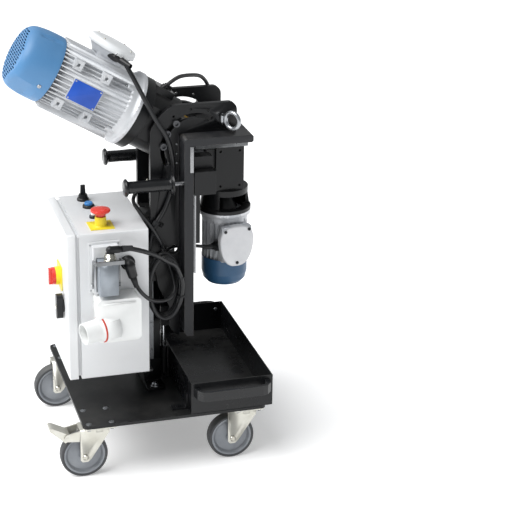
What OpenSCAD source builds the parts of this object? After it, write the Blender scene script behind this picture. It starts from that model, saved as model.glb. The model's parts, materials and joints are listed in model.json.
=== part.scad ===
// Plate beveling machine on a trolley, in millimetres, +Z up.
// +X points from the control cabinet to the plate throat and +Y along the feed.
// A milling head on two quadrant plates cuts the edge of a steel plate that passes
// along Y between the upper table and the feed roller of the lower jaw.

/* [Base and castors] */
// Width of the base plate, across the machine
base_w = 490; // [480:5:500]
// Length of the base plate, along the feed
base_l = 520; // [510:5:540]
// Thickness of the base plate
base_t = 8; // [6:1:10]
// Height of a castor, from the floor to the base plate
castor_h = 156; // [154:1:160]
// Diameter of a castor wheel
wheel_d = 125; // [120:1:126]
// Distance between castor swivels across the machine
castor_dx = 398; // [390:2:400]
// Distance between castor swivels along the feed
castor_dy = 412; // [400:2:414]

/* [Control cabinet] */
// Height of the cabinet
cab_h = 400; // [396:1:404]
// Length of the cabinet along the feed
cab_l = 300; // [296:2:304]
// Depth of the cabinet body without its door
cab_d = 178; // [174:1:180]
// Height of the cabinet's underside above the floor
cab_z = 262; // [258:1:266]

/* [Throat and table] */
// Height of the table's underside above the floor
table_z = 857; // [850:1:860]
// Thickness of the table
table_t = 20; // [18:1:22]
// Width of the table along the feed
table_l = 276; // [270:2:280]
// Reach of the table from the left face of its leg
table_reach = 183; // [178:1:188]
// Thickness of the leg
leg_t = 25; // [22:1:26]
// Thickness of the plate that the feed roller is set for
plate_set = 12; // [8:1:14]

/* [Milling head] */
// Angle of the spindle below the horizontal
bevel_angle = 30; // [28:1:32]
// Radius of the quadrant slots, from the tilt axis
slot_r = 84.5; // [84:0.5:85]
// Diameter of the milling cutter
cutter_d = 100; // [90:2:100]
// Outer diameter of the main motor's ribs
motor_d = 176; // [170:1:178]
// Diameter of the main motor's flange
motor_flange_d = 200; // [196:1:200]
// Length of the main motor, from its flange to the end of its fan cover
motor_l = 330; // [326:1:334]

/* [Feed drive] */
// Diameter of the feed roller
roller_d = 84; // [80:1:86]
// Outer diameter of the feed motor's ribs
feed_d = 121; // [118:1:122]
// Diameter of the feed motor's flange
feed_flange_d = 140; // [138:1:140]

/* [Chip tray] */
// Width of the tray across the machine
tray_w = 221; // [216:1:222]
// Length of the tray along the feed
tray_l = 503; // [495:1:505]
// Height of the tray's walls
tray_h = 87; // [80:1:88]

/* [Hidden] */
$fn = 64;

black = "#25282b";
dark_steel = "#3a3d40";
zinc = "#c9c6b8";
light_grey = "#d9dcde";
silver = "#aeb2b6";
motor_blue = "#6f9fc8";
yellow = "#e8d23a";
red = "#d83a2c";

e = 0.01;
base_top = castor_h + base_t;
base_corner_r = 14;

// Castor measures, from the swivel axis
castor_x = castor_dx / 2;
castor_y = castor_dy / 2;
castor_trail = 38;
castor_plate = [85, 105, 4];
castor_hole = [30, 40];
castor_screw_r = 4;
wheel_r = wheel_d / 2;
wheel_w = 32;
rim_r = 54;
axle_r = 5;
fork_gap = 20;
fork_wall = 4;
crown_z = 130;
crown_top = 143.7;
pedal_x = -84;
pedal_z = 120;

// Carriage: leg, table and quadrants
leg_x = 52;
leg_right = leg_x + leg_t;
table_right = leg_x + table_reach;
table_top = table_z + table_t;
leg_bottom = 331;
window_half = 69;
window_z = 480;
cutout_x = 135;
pad_t = 12;
plate_top = table_z - pad_t;
quad_t = 15;
quad_in = 70;
quad_top = 953;
quad_left = -24.5;
quad_right = 205;
quad_bottom = 312;
pivot_x = 93;
pivot_z = 838;
slot_half = 6.5;
slot_from = 61;
slot_to = 207;
lock_angles = [-23.7, 0, 23.7];

// Column and lift
column_x = -41;
column_w = 50;
column_half = 40;
column_top = 640;
column_wall = 4;
rail_x = -22;
rail_w = 12;
rail_t = 6;
rail_z = 232;
lift_x = 28;
lift_tube_r = 10.5;
lift_tube_top = 249;
lift_rod_r = 7;

// Cabinet
cab_x = -53 - cab_d;
cab_y = -181;
cab_wall = 2;
cab_top = cab_z + cab_h;
door_t = 22;
door_gap = 9;
door_x = cab_x - door_gap - door_t;
hinge_x = door_x + door_t;
hinge_y = cab_y + cab_l;
hinge_z = [cab_z + 46, cab_z + 330];

// Tray
tray_x = 40;
tray_y = -259;
tray_wall = 2;

// Head, in its own frame: the spindle lies on X and the motor is on the -X side
flange_x = -181;
flange_t = 12;
shield_l = 22;
cover_l = 90;
motor_r = motor_d / 2;
cover_x = flange_x - motor_l + cover_l;
terminal_x = -296;
cutter_x = -20;

// Lower jaw
jaw_bar_z = 724;
jaw_bar_top = 787;
jaw_bar_right = 136;
roller_r = roller_d / 2;
roller_z = plate_top - plate_set - roller_r;
roller_x = 95;
roller_w = 34;
feed_x = 198;
feed_r = feed_d / 2;
feed_flange_top = 635;
feed_body_z = 495;
feed_cover_z = 424;

// The origin is under the middle of the whole machine
cap_rim = [5, 16];
far_left = pivot_x - (motor_l - flange_x - cap_rim[0]) * cos(bevel_angle)
  - (motor_r - cap_rim[1]) * sin(bevel_angle);
far_right = feed_x + feed_flange_d / 2;
handle_out = 38;
handle_y = 130;
handle_z = 758;
mid_x = (far_left + far_right) / 2;
mid_y = tray_y + tray_l / 2;

module placed() translate([-mid_x, -mid_y, 0]) children();
module at_head() translate([pivot_x, 0, pivot_z]) rotate([0, bevel_angle, 0]) children();
module on_x() rotate([0, 90, 0]) children();
module on_y() rotate([-90, 0, 0]) children();

// Rod along X from x0 to x1
module rod_x(x0, x1, r) translate([x0, 0, 0]) on_x() cylinder(r = r, h = x1 - x0);
// Rod along Y from y0 to y1
module rod_y(y0, y1, r) translate([0, y0, 0]) on_y() cylinder(r = r, h = y1 - y0);
// Outline in the XZ plane, standing from y0 to y1
module wall_xz(y0, y1) translate([0, y1, 0]) rotate([90, 0, 0]) linear_extrude(y1 - y0) children();
// Block given by its lowest and highest corners
module block(low, high) translate(low) cube(high - low);

module rounded_rect(w, l, r) {
  square([w - 2 * r, l], center = true);
  square([w, l - 2 * r], center = true);
  for (x = [-1, 1], y = [-1, 1])
    translate([x * (w / 2 - r), y * (l / 2 - r)]) circle(r);
}

module at_castors() for (x = [-1, 1], y = [-1, 1]) translate([x * castor_x, y * castor_y, 0]) children();
module at_castor_holes() for (x = [-1, 1], y = [-1, 1])
  translate([x * castor_hole.x, y * castor_hole.y, 0]) children();

// Base plate: rounded corners and countersunk holes for the castor screws
module base_plate() color(black) difference() {
  translate([0, 0, castor_h]) linear_extrude(base_t) rounded_rect(base_w, base_l, base_corner_r);
  at_castors() at_castor_holes() {
    translate([0, 0, castor_h - 1]) cylinder(r = castor_screw_r + 0.3, h = base_t + 2);
    translate([0, 0, base_top - 4]) cylinder(r1 = castor_screw_r + 0.3, r2 = castor_screw_r + 4.4, h = 4.1);
  }
}

// Four castor top plates, each with its swivel race, king pin and screws
module castor_mount() {
  difference() {
    translate([0, 0, castor_h - castor_plate.z])
      linear_extrude(castor_plate.z) rounded_rect(castor_plate.x, castor_plate.y, 8);
    at_castor_holes() translate([0, 0, castor_h - 8]) cylinder(r = castor_screw_r + 0.3, h = 10);
  }
  translate([0, 0, crown_top + 0.3]) cylinder(r = 29, h = castor_h - castor_plate.z - crown_top - 0.3 + e);
  translate([0, 0, crown_z - 0.5]) cylinder(r = 6, h = 20);
  translate([0, 0, crown_z - 5.5]) cylinder(r = 9.5, h = 5, $fn = 6);
  at_castor_holes() {
    translate([0, 0, castor_h - 10]) cylinder(r = 6.5, h = 6, $fn = 6);
    translate([0, 0, castor_h - 9]) cylinder(r = castor_screw_r, h = base_t + 8);
    translate([0, 0, base_top - 4]) cylinder(r1 = castor_screw_r, r2 = castor_screw_r + 4, h = 4);
  }
}
module castor_mounts() color(zinc) at_castors() castor_mount();

// Castor fork: pressed legs on a swivel crown, with the axle bolt through their feet
module fork_leg() polygon([
  [-50, 53], [-45, 47], [-31, 47], [-22, 55], [27, 128], [27, 140], [-50, 140]
]);
module castor_fork(braked) color(zinc) {
  difference() {
    union() {
      for (s = [-1, 1]) {
        y0 = s > 0 ? fork_gap : -fork_gap - fork_wall;
        wall_xz(y0, y0 + fork_wall) fork_leg();
        if (braked) wall_xz(y0, y0 + fork_wall)
          polygon([[-52, 108], [-88, 112], [-92, 122], [-86, 130], [-50, 138]]);
      }
      block([-50, -fork_gap - fork_wall, 136], [27, fork_gap + fork_wall, 140]);
      translate([0, 0, crown_z]) cylinder(r = 26, h = crown_top - crown_z);
    }
    translate([0, 0, crown_z - 1]) cylinder(r = 6.1, h = 20);
    if (braked) translate([pedal_x, 0, pedal_z]) rod_y(-40, 40, 4.1);
  }
  translate([-castor_trail, 0, wheel_r]) {
    rod_y(-fork_gap - fork_wall - 1, fork_gap + fork_wall + 1, axle_r);
    for (s = [-1, 1]) translate([0, s * (fork_gap + fork_wall + 3), 0])
      rotate([90, 0, 0]) cylinder(r = 8.5, h = 6, center = true, $fn = 6);
  }
}

// Castor wheel: a dished rim with its hub, and a tyre round it
module wheel_profile() polygon([
  [axle_r + 0.1, -19.5], [13, -19.5], [17, -8], [44, -5], [49, -14], [rim_r, -14],
  [rim_r, 14], [49, 14], [44, 5], [17, 8], [13, 19.5], [axle_r + 0.1, 19.5]
]);
module tyre_profile() polygon([
  [rim_r + 0.15, -14], [wheel_r - 3, -16], [wheel_r - 0.7, -11], [wheel_r, -5],
  [wheel_r, 5], [wheel_r - 0.7, 11], [wheel_r - 3, 16], [rim_r + 0.15, 14]
]);
module castor_wheel() color("#8d9094") translate([-castor_trail, 0, wheel_r]) on_y() {
  rotate_extrude() wheel_profile();
  rotate_extrude() tyre_profile();
}

// Brake pedal of the front left castor, with the cam that meets the tyre
module brake_pedal() color(zinc) {
  inner = fork_gap - 0.6;
  difference() {
    union() {
      for (s = [-1, 1]) {
        y0 = s > 0 ? inner - 3 : -inner;
        wall_xz(y0, y0 + 3)
          polygon([[-76, 114], [-78, 128], [-122, 151], [-126, 143], [-94, 112], [-88, 106]]);
      }
      wall_xz(-inner, inner) polygon([[-77, 126], [-77, 129], [-121, 152], [-126, 152], [-124, 147]]);
      translate([-124, 0, 147]) rod_y(-inner, inner, 5);
      wall_xz(-11, 11) polygon([[-92, 108], [-89, 104], [-88.2, 108], [-80, 118], [-80, 124], [-88, 124]]);
    }
    translate([pedal_x, 0, pedal_z]) rod_y(-40, 40, 4.1);
  }
  translate([pedal_x, 0, pedal_z]) rod_y(-fork_gap - fork_wall - 1, fork_gap + fork_wall + 1, 4);
}

// Lift column: a square tube with welded feet and the straps that carry the cabinet
module column() color(black) {
  difference() {
    block([column_x, -column_half, base_top], [column_x + column_w, column_half, column_top]);
    block([column_x + column_wall, -column_half + column_wall, base_top + 6],
      [column_x + column_w - column_wall, column_half - column_wall, column_top - 4]);
  }
  for (s = [-1, 1]) scale([1, s, 1]) {
    difference() {
      union() {
        block([column_x, column_half, base_top], [column_x + column_w, column_half + 60, base_top + 6]);
        block([column_x, column_half, base_top], [column_x + column_w, column_half + 6, base_top + 64]);
        wall_xz(column_half, column_half + 60) translate([0, base_top])
          polygon([[column_x, 0], [column_x + 5, 0], [column_x + 5, 8], [column_x, 8]]);
      }
      translate([column_x + 25, column_half + 42, base_top - 1]) cylinder(r = 5.2, h = 9);
    }
    translate([column_x + 25, column_half + 42, base_top + 6]) {
      cylinder(r = 11, h = 2);
      translate([0, 0, 2 - e]) cylinder(r = 8, h = 7, $fn = 6);
    }
  }
  for (z = [cab_z + 38, cab_z + 338])
    block([cab_x + cab_d, -110, z], [column_x + e, 60, z + 30]);
  block([cab_x + cab_d - 24, cab_y + 14, cab_z - 6], [column_x + e, cab_y + cab_l - 14, cab_z]);
  lift_cylinder();
}

// Guide rails on the front and rear faces of the column
module rail_section() polygon([
  [0, 0], [rail_w, 0], [rail_w, 1.6], [rail_w - 1.8, 3], [rail_w, 4.4], [rail_w, rail_t],
  [0, rail_t], [0, 4.4], [1.8, 3], [0, 1.6]
]);
module guide_rails() color(silver) for (s = [-1, 1])
  scale([1, s, 1]) difference() {
    translate([rail_x, column_half, rail_z]) linear_extrude(column_top - 10 - rail_z) rail_section();
    for (z = [rail_z + 30 : 80 : column_top - 30])
      translate([rail_x + rail_w / 2, 0, z]) rod_y(column_half + rail_t - 3, column_half + rail_t + 1, 3.2);
  }

// Gas strut under the nut block: its cylinder stands on the base plate
module lift_cylinder() translate([lift_x, 0, 0]) difference() {
  union() {
    translate([0, 0, base_top]) cylinder(r = lift_tube_r, h = lift_tube_top - base_top);
    block([-8, -30, base_top], [8, 30, base_top + 6]);
  }
  translate([0, 0, base_top + 3]) cylinder(r = lift_rod_r + 0.1, h = 200);
  for (s = [-1, 1]) translate([0, s * 22, base_top - 1]) cylinder(r = 3.4, h = 10);
}
module lift_rod() color("#d5d8da") translate([lift_x, 0, 0]) {
  translate([0, 0, base_top + 36]) cylinder(r = lift_rod_r, h = 372 - base_top - 36 + 8);
  translate([0, 0, 380 - e]) cylinder(r = 11, h = 8, $fn = 6);
}

// Carriage blocks: runner blocks on the rails and the nut block on the leg
module runner_block(z) difference() {
  block([quad_left, column_half + 1, z], [4, quad_in - 0.02, z + 70]);
  block([rail_x - 0.3, column_half, z - 1], [rail_x + rail_w + 0.3, column_half + rail_t + 0.4, z + 71]);
}
module carriage_blocks() color(dark_steel) {
  for (s = [-1, 1], z = [470, 570]) scale([1, s, 1]) runner_block(z);
  difference() {
    union() {
      block([lift_x - 12, -22, 316], [leg_x - 0.02, 22, 372]);
      block([leg_x - 8, -40, 334], [leg_x - 0.02, 40, 366]);
    }
    translate([lift_x, 0, 300]) cylinder(r = lift_rod_r + 0.06, h = 100);
    for (s = [-1, 1]) translate([0, s * 32, 350]) rod_x(30, 60, 3.4);
  }
}

// Cabinet body: folded shell, open to the door, with a gutter round the opening
module cabinet_shell() color(light_grey) {
  mid_cy = cab_y + cab_l / 2;
  mid_cz = cab_z + cab_h / 2;
  difference() {
    union() {
      translate([cab_x, mid_cy, mid_cz]) on_x() linear_extrude(cab_d) rounded_rect(cab_h, cab_l, 4);
      translate([cab_x - door_gap + 0.3, mid_cy, mid_cz]) on_x()
        linear_extrude(door_gap) rounded_rect(cab_h - 14, cab_l - 14, 4);
    }
    translate([cab_x + 14, mid_cy, mid_cz]) on_x()
      linear_extrude(cab_d - 14 - cab_wall) rounded_rect(cab_h - 2 * cab_wall, cab_l - 2 * cab_wall, 2);
    translate([cab_x - door_gap - 1, mid_cy, mid_cz]) on_x()
      linear_extrude(door_gap + 16) rounded_rect(cab_h - 18, cab_l - 18, 3);
    for (p = panel_holes) translate([p.x, p.y, cab_top - 5]) cylinder(r = p.z, h = 10);
    translate([-163, 0, 560]) rod_y(cab_y - 1, cab_y + 5, 16);
    translate([-108, 0, 577]) rod_y(cab_y - 1, cab_y + 5, 10);
    translate([-142, 0, 445]) rod_y(cab_y - 1, cab_y + 5, 18);
  }
  for (z = hinge_z) translate([hinge_x, hinge_y, z]) {
    cylinder(r = 4, h = 10);
    cylinder(r = 2.2, h = 24);
    block([0, -0.05, 0], [28, 2, 10]);
  }
}

// Controls on the cabinet's top, each as [x, y, hole radius]
stop_at = [-165, -128];
lamp_at = [-171, -66];
start_at = [-168, 14];
selector_at = [-172, 72];
panel_holes = [
  [stop_at.x, stop_at.y, 11], [lamp_at.x, lamp_at.y, 8],
  [start_at.x, start_at.y, 11], [selector_at.x, selector_at.y, 11]
];

// Mounting plate inside the cabinet, with two rails for switchgear
module mounting_plate() {
  block([-72, cab_y + 22, cab_z + 22], [-69, cab_y + cab_l - 22, cab_z + cab_h - 22]);
  for (y = [cab_y + 34, cab_y + cab_l - 34], z = [cab_z + 34, cab_z + cab_h - 34])
    translate([0, y, z]) rod_x(-69 - e, cab_x + cab_d - cab_wall - 0.02, 6);
  for (z = [cab_z + 70, cab_z + 330])
    translate([-72 + e, cab_y + 34, z]) rotate([-90, 0, 0]) linear_extrude(cab_l - 68)
      polygon([
        [0, -5], [-7, -5], [-7, -17], [-8, -17], [-8, -4], [-1, -4], [-1, 4], [-8, 4], [-8, 17], [-7, 17], [-7, 5], [0, 5]
      ]);
}
// Frequency drive, contactors, terminals and power supply on the mounting plate
module control_gear() color("#4a4f55") {
  mounting_plate();
  difference() {
    block([-150, -150, cab_z + 120], [-72.3, -60, cab_z + 270]);
    for (z = [cab_z + 135 : 12 : cab_z + 255]) block([-151, -140, z], [-145, -70, z + 5]);
  }
  for (i = [0 : 2]) difference() {
    block([-140, -40 + i * 48, cab_z + 300], [-80.3, 4 + i * 48, cab_z + 366]);
    block([-141, -34 + i * 48, cab_z + 318], [-128, -2 + i * 48, cab_z + 350]);
  }
  for (i = [0 : 11])
    block([-118, -140 + i * 9, cab_z + 44], [-80.3, -132 + i * 9, cab_z + 96]);
  block([-150, -30, cab_z + 130], [-72.3, 76, cab_z + 250]);
}

// Power inlet: wall housing with a slanted sleeve and its five pins
module at_sleeve() translate([-148, cab_y - 36, 424]) rotate([0, 0, 16]) rotate([0, -94, 0]) children();
module power_inlet() color("#eceded") {
  difference() {
    union() {
      translate([-142, cab_y - 60, 445]) on_y() linear_extrude(60) rounded_rect(113, 116, 12);
      at_sleeve() cylinder(r = 36, h = 40);
      at_sleeve() cylinder(r = 32.5, h = 46);
      at_sleeve() cylinder(r1 = 29.5, r2 = 27.5, h = 92);
    }
    translate([-142, cab_y - 56, 445]) on_y() linear_extrude(57) rounded_rect(105, 108, 8);
    at_sleeve() translate([0, 0, 20]) cylinder(r1 = 24.5, r2 = 24.5, h = 80);
  }
  at_sleeve() translate([0, 0, 14]) cylinder(r = 34, h = 6.5);
  translate([-142, cab_y - 62, 492]) block([-40, 0, -3], [40, 6, 3]);
  inlet_pins();
}
module inlet_pins() at_sleeve() for (a = [0 : 72 : 288])
  rotate([0, 0, a + 36]) translate([13, 0, 20.6]) cylinder(r = a == 0 ? 3.6 : 2.8, h = 42);

// Rectangular connector: housing on the cabinet, hood with its side lever, cord gland
hood_x = [-192, -144];
hood_z = [515, 605];
module connector_housing() color("#b9bcbe") difference() {
  union() {
    block([-200, cab_y - 26, 508], [-136, cab_y, 634]);
    block([-208, cab_y - 5, 503], [-128, cab_y, 640]);
  }
  block([-194, cab_y - 27, 514], [-142, cab_y - 4, 606]);
  for (x = [-204, -132], z = [510, 633]) translate([x, 0, z]) rod_y(cab_y - 6, cab_y + 1, 2.2);
}
module lever_pins() color("#b9bcbe") translate([0, lever_at[0], lever_at[1]]) {
  rod_x(-206, -199, 3);
  rod_x(-137, -130.4, 3);
}
module connector_hood() color("#9aa2aa") {
  translate([0, cab_y - 26.2, 0]) {
    difference() {
      union() {
        block([hood_x[0], -36, hood_z[0]], [hood_x[1], 0, hood_z[1]]);
        wall_xz(-42, -30) polygon([[-189, 518], [-147, 518], [-147, 602], [-189, 602]]);
      }
      block([hood_x[0] + 4, -30, hood_z[0] + 4], [hood_x[1] - 4, 1, hood_z[1] - 4]);
    }
    translate([-162, -20, hood_z[1] - e]) {
      cylinder(r = 16, h = 5);
      translate([0, 0, 5 - e]) cylinder(r = 15, h = 9, $fn = 6);
      translate([0, 0, 14 - 2 * e]) cylinder(r = 11.5, h = 6);
      translate([0, 0, 20 - 3 * e]) cylinder(r = 9.3, h = 8);
      translate([0, 0, 28]) sphere(r = 10.2);
      translate([0, 0, 28]) rod_x(0, 24, 9.3);
      translate([0, 0, 28]) rod_x(24 - e, 32, 8);
    }
  }
}
// Locking lever of the connector: a wire bow in front of the hood, on two pivots
lever_at = [cab_y - 20, 530];
module hood_lever() color(silver) {
  for (x = [-204.3, -135.6]) translate([x, lever_at[0], lever_at[1]]) rotate([90, 0, 90])
    linear_extrude(3.6) difference() {
      union() {
        circle(8);
        polygon([[-4, 0], [4, 0], [-8.5, 72], [-57, 84], [-57, 77], [-16, 65]]);
      }
      circle(3.1);
    }
  block([-204.3, lever_at[0] - 60, lever_at[1] + 75], [-132, lever_at[0] - 54, lever_at[1] + 85]);
}

// Round plug in its socket with a bent neck, and the angled gland of the feed cord
plug_bend = 164;
plug_at = [-108, cab_y - 24, 577];
plug_dir = [sin(plug_bend), 0, cos(plug_bend)];
plug_end = plug_at + 40 * plug_dir;
side_gland = [-41, -100, 474];
module cabinet_plugs() color(black) {
  translate([plug_at.x, cab_y, plug_at.z]) {
    rod_y(-6, 0, 19);
    rod_y(-24, -6 + e, 14.4);
  }
  translate(plug_at) sphere(r = 15);
  translate(plug_at) rotate([0, plug_bend, 0]) {
    cylinder(r1 = 14, r2 = 12, h = 32);
    cylinder(r = 8.5, h = 40);
  }
  translate(side_gland) {
    rod_x(-12, 0, 7.5);
    rod_x(-12, -9, 11);
    sphere(r = 8.2);
    cylinder(r = 7.5, h = 16);
    translate([0, 0, 6]) cylinder(r = 9.5, h = 7, $fn = 6);
  }
}

// Stop button: yellow collar on a square plate, and the red mushroom on it
module stop_collar() color(yellow) translate([stop_at.x, stop_at.y, cab_top]) {
  linear_extrude(1.6) square(62, center = true);
  difference() {
    translate([0, 0, 1.6 - e]) cylinder(r1 = 16, r2 = 14, h = 24);
    translate([0, 0, 8]) cylinder(r = 9.1, h = 20);
  }
}
module stop_button() color(red) translate([stop_at.x, stop_at.y, cab_top]) {
  translate([0, 0, 12]) cylinder(r = 9, h = 20);
  translate([0, 0, 30]) rotate_extrude()
    polygon([[0, 0], [14, 0], [15, 4], [24, 5], [25.5, 8], [25.5, 12], [23, 15], [14, 17.5], [0, 18.3]]);
}

// Bezels of the lamp button, the start button and the selector
module button_bezels() color("#3c4044") {
  for (b = [[lamp_at, 11, 7.1], [start_at, 16, 11.1], [selector_at, 16, 9.1]])
    translate([b[0].x, b[0].y, cab_top]) difference() {
      union() {
        cylinder(r = b[1], h = 5);
        translate([0, 0, 5 - e]) cylinder(r1 = b[1], r2 = b[1] - 2, h = 3);
      }
      translate([0, 0, 2]) cylinder(r = b[2], h = 10);
    }
}
module lamp_button() color("#f4f4f2") translate([lamp_at.x, lamp_at.y, cab_top + 4.2]) {
  cylinder(r = 7, h = 6);
  translate([0, 0, 6 - e]) rotate_extrude() polygon([[0, 0], [7, 0], [6.4, 3], [4, 5.4], [0, 6.2]]);
}
module start_button() color("#3f8fd0") translate([start_at.x, start_at.y, cab_top + 4.2]) {
  cylinder(r = 11, h = 9);
  translate([0, 0, 9 - e]) cylinder(r1 = 11, r2 = 9.6, h = 1.4);
}
module selector_knob() color(black) translate([selector_at.x, selector_at.y, cab_top + 2.2]) {
  cylinder(r = 9, h = 7);
  translate([0, 0, 6]) cylinder(r1 = 13.5, r2 = 11, h = 9);
  translate([0, 0, 15 - e]) difference() {
    cylinder(r1 = 7.6, r2 = 6.4, h = 25);
    for (s = [-1, 1]) translate([-10, s > 0 ? 4 : -14, -1]) cube([20, 10, 30]);
  }
}

// Cabinet door: a pan with folded edges, hinged on its rear edge
module cabinet_door() color("#e2e5e7") difference() {
  union() {
    translate([door_x, cab_y + cab_l / 2, cab_z + cab_h / 2]) on_x() difference() {
      linear_extrude(door_t) rounded_rect(cab_h, cab_l, 5);
      translate([0, 0, 2]) linear_extrude(door_t) rounded_rect(cab_h - 4, cab_l - 4, 3);
    }
    for (z = hinge_z) translate([hinge_x, hinge_y, z + 10.3]) cylinder(r = 4, h = 11.7);
  }
  for (z = hinge_z) translate([hinge_x, hinge_y, z]) {
    translate([0, 0, 10]) cylinder(r = 2.28, h = 16);
    block([-4.6, -4.6, -0.6], [1, 1, 10.2]);
    cylinder(r = 4.6, h = 10.2);
  }
  translate([0, switch_at.x, switch_at.y]) rod_x(door_x - 1, door_x + 5, 12.1);
  translate([0, latch_at.x, latch_at.y]) rod_x(door_x - 1, door_x + 5, 11.1);
}
switch_at = [-68, 512];
latch_at = [-110, 444];
// Yellow plate of the main switch, with its round collar
module switch_plate() color(yellow) translate([door_x, switch_at.x, switch_at.y]) difference() {
  union() {
    translate([-3, 0, 0]) on_x() linear_extrude(3) rounded_rect(65, 65, 4);
    rod_x(-14, -3 + e, 24);
  }
  rod_x(-15, 1, 10.1);
}
module main_switch() color(red) translate([door_x, switch_at.x, switch_at.y]) {
  rod_x(-15, 30, 10);
  rod_x(-22, -14.3, 23);
  difference() {
    rod_x(-31, -22 + e, 22);
    for (s = [-1, 1]) translate([-32, s > 0 ? 7 : -37, -30]) cube([9, 30, 60]);
  }
}
// Door latch: round escutcheon, grip bar and the cam behind the door
module door_latch() color(black) translate([door_x, latch_at.x, latch_at.y]) {
  rod_x(-3, -0.2, 17);
  rod_x(-3, 14, 11);
  translate([-20, 0, 0]) on_x() linear_extrude(17 + e) rounded_rect(66, 22, 8);
  block([14 - e, -26, -7], [17, 8, 7]);
}

// Chip tray: folded box with a front and a rear pull, and the guides beside it
module tray_box() color("#303336") difference() {
  block([tray_x, tray_y, base_top + 0.4], [tray_x + tray_w, tray_y + tray_l, base_top + tray_h]);
  block([tray_x + tray_wall, tray_y + tray_wall, base_top + 0.4 + tray_wall],
    [tray_x + tray_w - tray_wall, tray_y + tray_l - tray_wall, base_top + tray_h + 1]);
}
module tray_pull() {
  w = tray_w - 14;
  translate([0, 0, 0]) difference() {
    linear_extrude(26) difference() {
      polygon([[-w / 2, 0], [-w / 2 + 4, -20], [-w / 2 + 16, -handle_out + 4], [-w / 2 + 30, -handle_out],
        [w / 2 - 30, -handle_out], [w / 2 - 16, -handle_out + 4], [w / 2 - 4, -20], [w / 2, 0]]);
      polygon([[-w / 2 + 14, 1], [-w / 2 + 16, -18], [-w / 2 + 24, -handle_out + 12], [-w / 2 + 34, -handle_out + 8],
        [w / 2 - 34, -handle_out + 8], [w / 2 - 24, -handle_out + 12], [w / 2 - 16, -18], [w / 2 - 14, 1]]);
    }
  }
}
module tray_handles() color("#3a3e42") translate([tray_x + tray_w / 2, 0, base_top + 50]) {
  translate([0, tray_y, 0]) tray_pull();
  translate([0, tray_y + tray_l, 0]) mirror([0, 1, 0]) tray_pull();
}
module tray_guides() color(dark_steel) for (y = [tray_y + 33, tray_y + tray_l - 60]) translate([0, y, base_top]) {
  difference() {
    union() {
      block([-2, 0, 0], [tray_x - 1, 24, 4]);
      block([tray_x - 5, 0, 0], [tray_x - 1, 24, 42]);
      translate([tray_x - 5, 0, 4]) wall_xz(0, 24) polygon([[0, 0], [-6, 0], [-1.8, 1.8], [0, 6]]);
    }
    translate([14, 12, -1]) cylinder(r = 4.2, h = 7);
  }
  translate([14, 12, 4]) cylinder(r = 6.5, h = 5, $fn = 6);
}

// Quadrant plate: arc slot for the lock bolts, index holes, and the side of the carriage below
module arc_slot(r, half, a0, a1) {
  steps = 24;
  difference() {
    circle(r + half, $fn = 128);
    circle(r - half, $fn = 128);
    polygon(concat([[0, 0]], [for (i = [0 : steps]) let (a = a1 + i * (360 + a0 - a1) / steps) 300 * [cos(a), sin(a)]]));
  }
  for (a = [a0, a1]) rotate(a) translate([r, 0]) circle(half + 0.06);
}
module quadrant_outline() {
  arc_r = 128;
  corner_r = 22;
  translate([pivot_x, pivot_z]) intersection() {
    circle(arc_r, $fn = 128);
    translate([quad_left - pivot_x, 0]) square([pivot_x - quad_left, quad_top - pivot_z]);
  }
  translate([pivot_x - 60, table_top]) square([quad_right - pivot_x + 60 - corner_r, quad_top - table_top]);
  translate([quad_right - corner_r - 1, table_top]) square([corner_r + 1, quad_top - table_top - corner_r]);
  translate([quad_right - corner_r, quad_top - corner_r]) circle(corner_r);
  polygon([
    [quad_left, pivot_z + 50], [quad_left, 560], [-4, 455], [24, 400], [24, 352], [28, 334],
    [38, 320], [leg_x - 0.02, quad_bottom], [leg_x - 0.02, pivot_z + 50]
  ]);
}
module quadrant(y0) color(black) {
  difference() {
    wall_xz(y0, y0 + quad_t) difference() {
      union() {
        difference() {
          quadrant_outline();
          square([500, table_top + 0.02]);
        }
        intersection() {
          quadrant_outline();
          translate([-100, 0]) square([100 + leg_x - 0.02, 1000]);
        }
      }
      translate([pivot_x, pivot_z]) {
        arc_slot(slot_r, slot_half, slot_from, slot_to);
        for (a = [69, 96, 123]) rotate(a) translate([102, 0]) circle(3.2);
      }
      for (z = [799 : 25.5 : 852]) translate([45, z]) circle(2.6);
      translate([28, 561]) rounded_rect(44, 26, 12);
    }
  }
}
module quadrant_front() {
  quadrant(-quad_in - quad_t);
  color(silver) translate([ring_at.x, -quad_in - quad_t, ring_at.z]) difference() {
    union() {
      rod_y(-5, 0.5, 15);
      for (z = [-13, 9]) translate([0, 0, z]) linear_extrude(4) {
        translate([-4.5, -16]) square([9, 16]);
        translate([0, -16]) circle(4.5);
      }
    }
    translate([0, -16, -20]) cylinder(r = 2.5, h = 40);
  }
}
module quadrant_rear() quadrant(quad_in);
ring_at = [162, -quad_in - quad_t - 16, 914];
ring_turn = 52;
// Lifting ring with its pivot barrel, on a pin in the lug of the front quadrant
module lifting_ring() color("#c4c6c4") translate(ring_at) {
  translate([0, 0, -14]) cylinder(r = 2.45, h = 28);
  rotate([0, 0, -ring_turn]) {
    translate([0, 0, -8.5]) cylinder(r = 5.5, h = 17);
    block([0, -4, -5], [11, 4, 5]);
    translate([31, 0, 0]) rotate([90, 0, 0]) rotate_extrude() translate([21, 0]) circle(5.6);
  }
}

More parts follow.
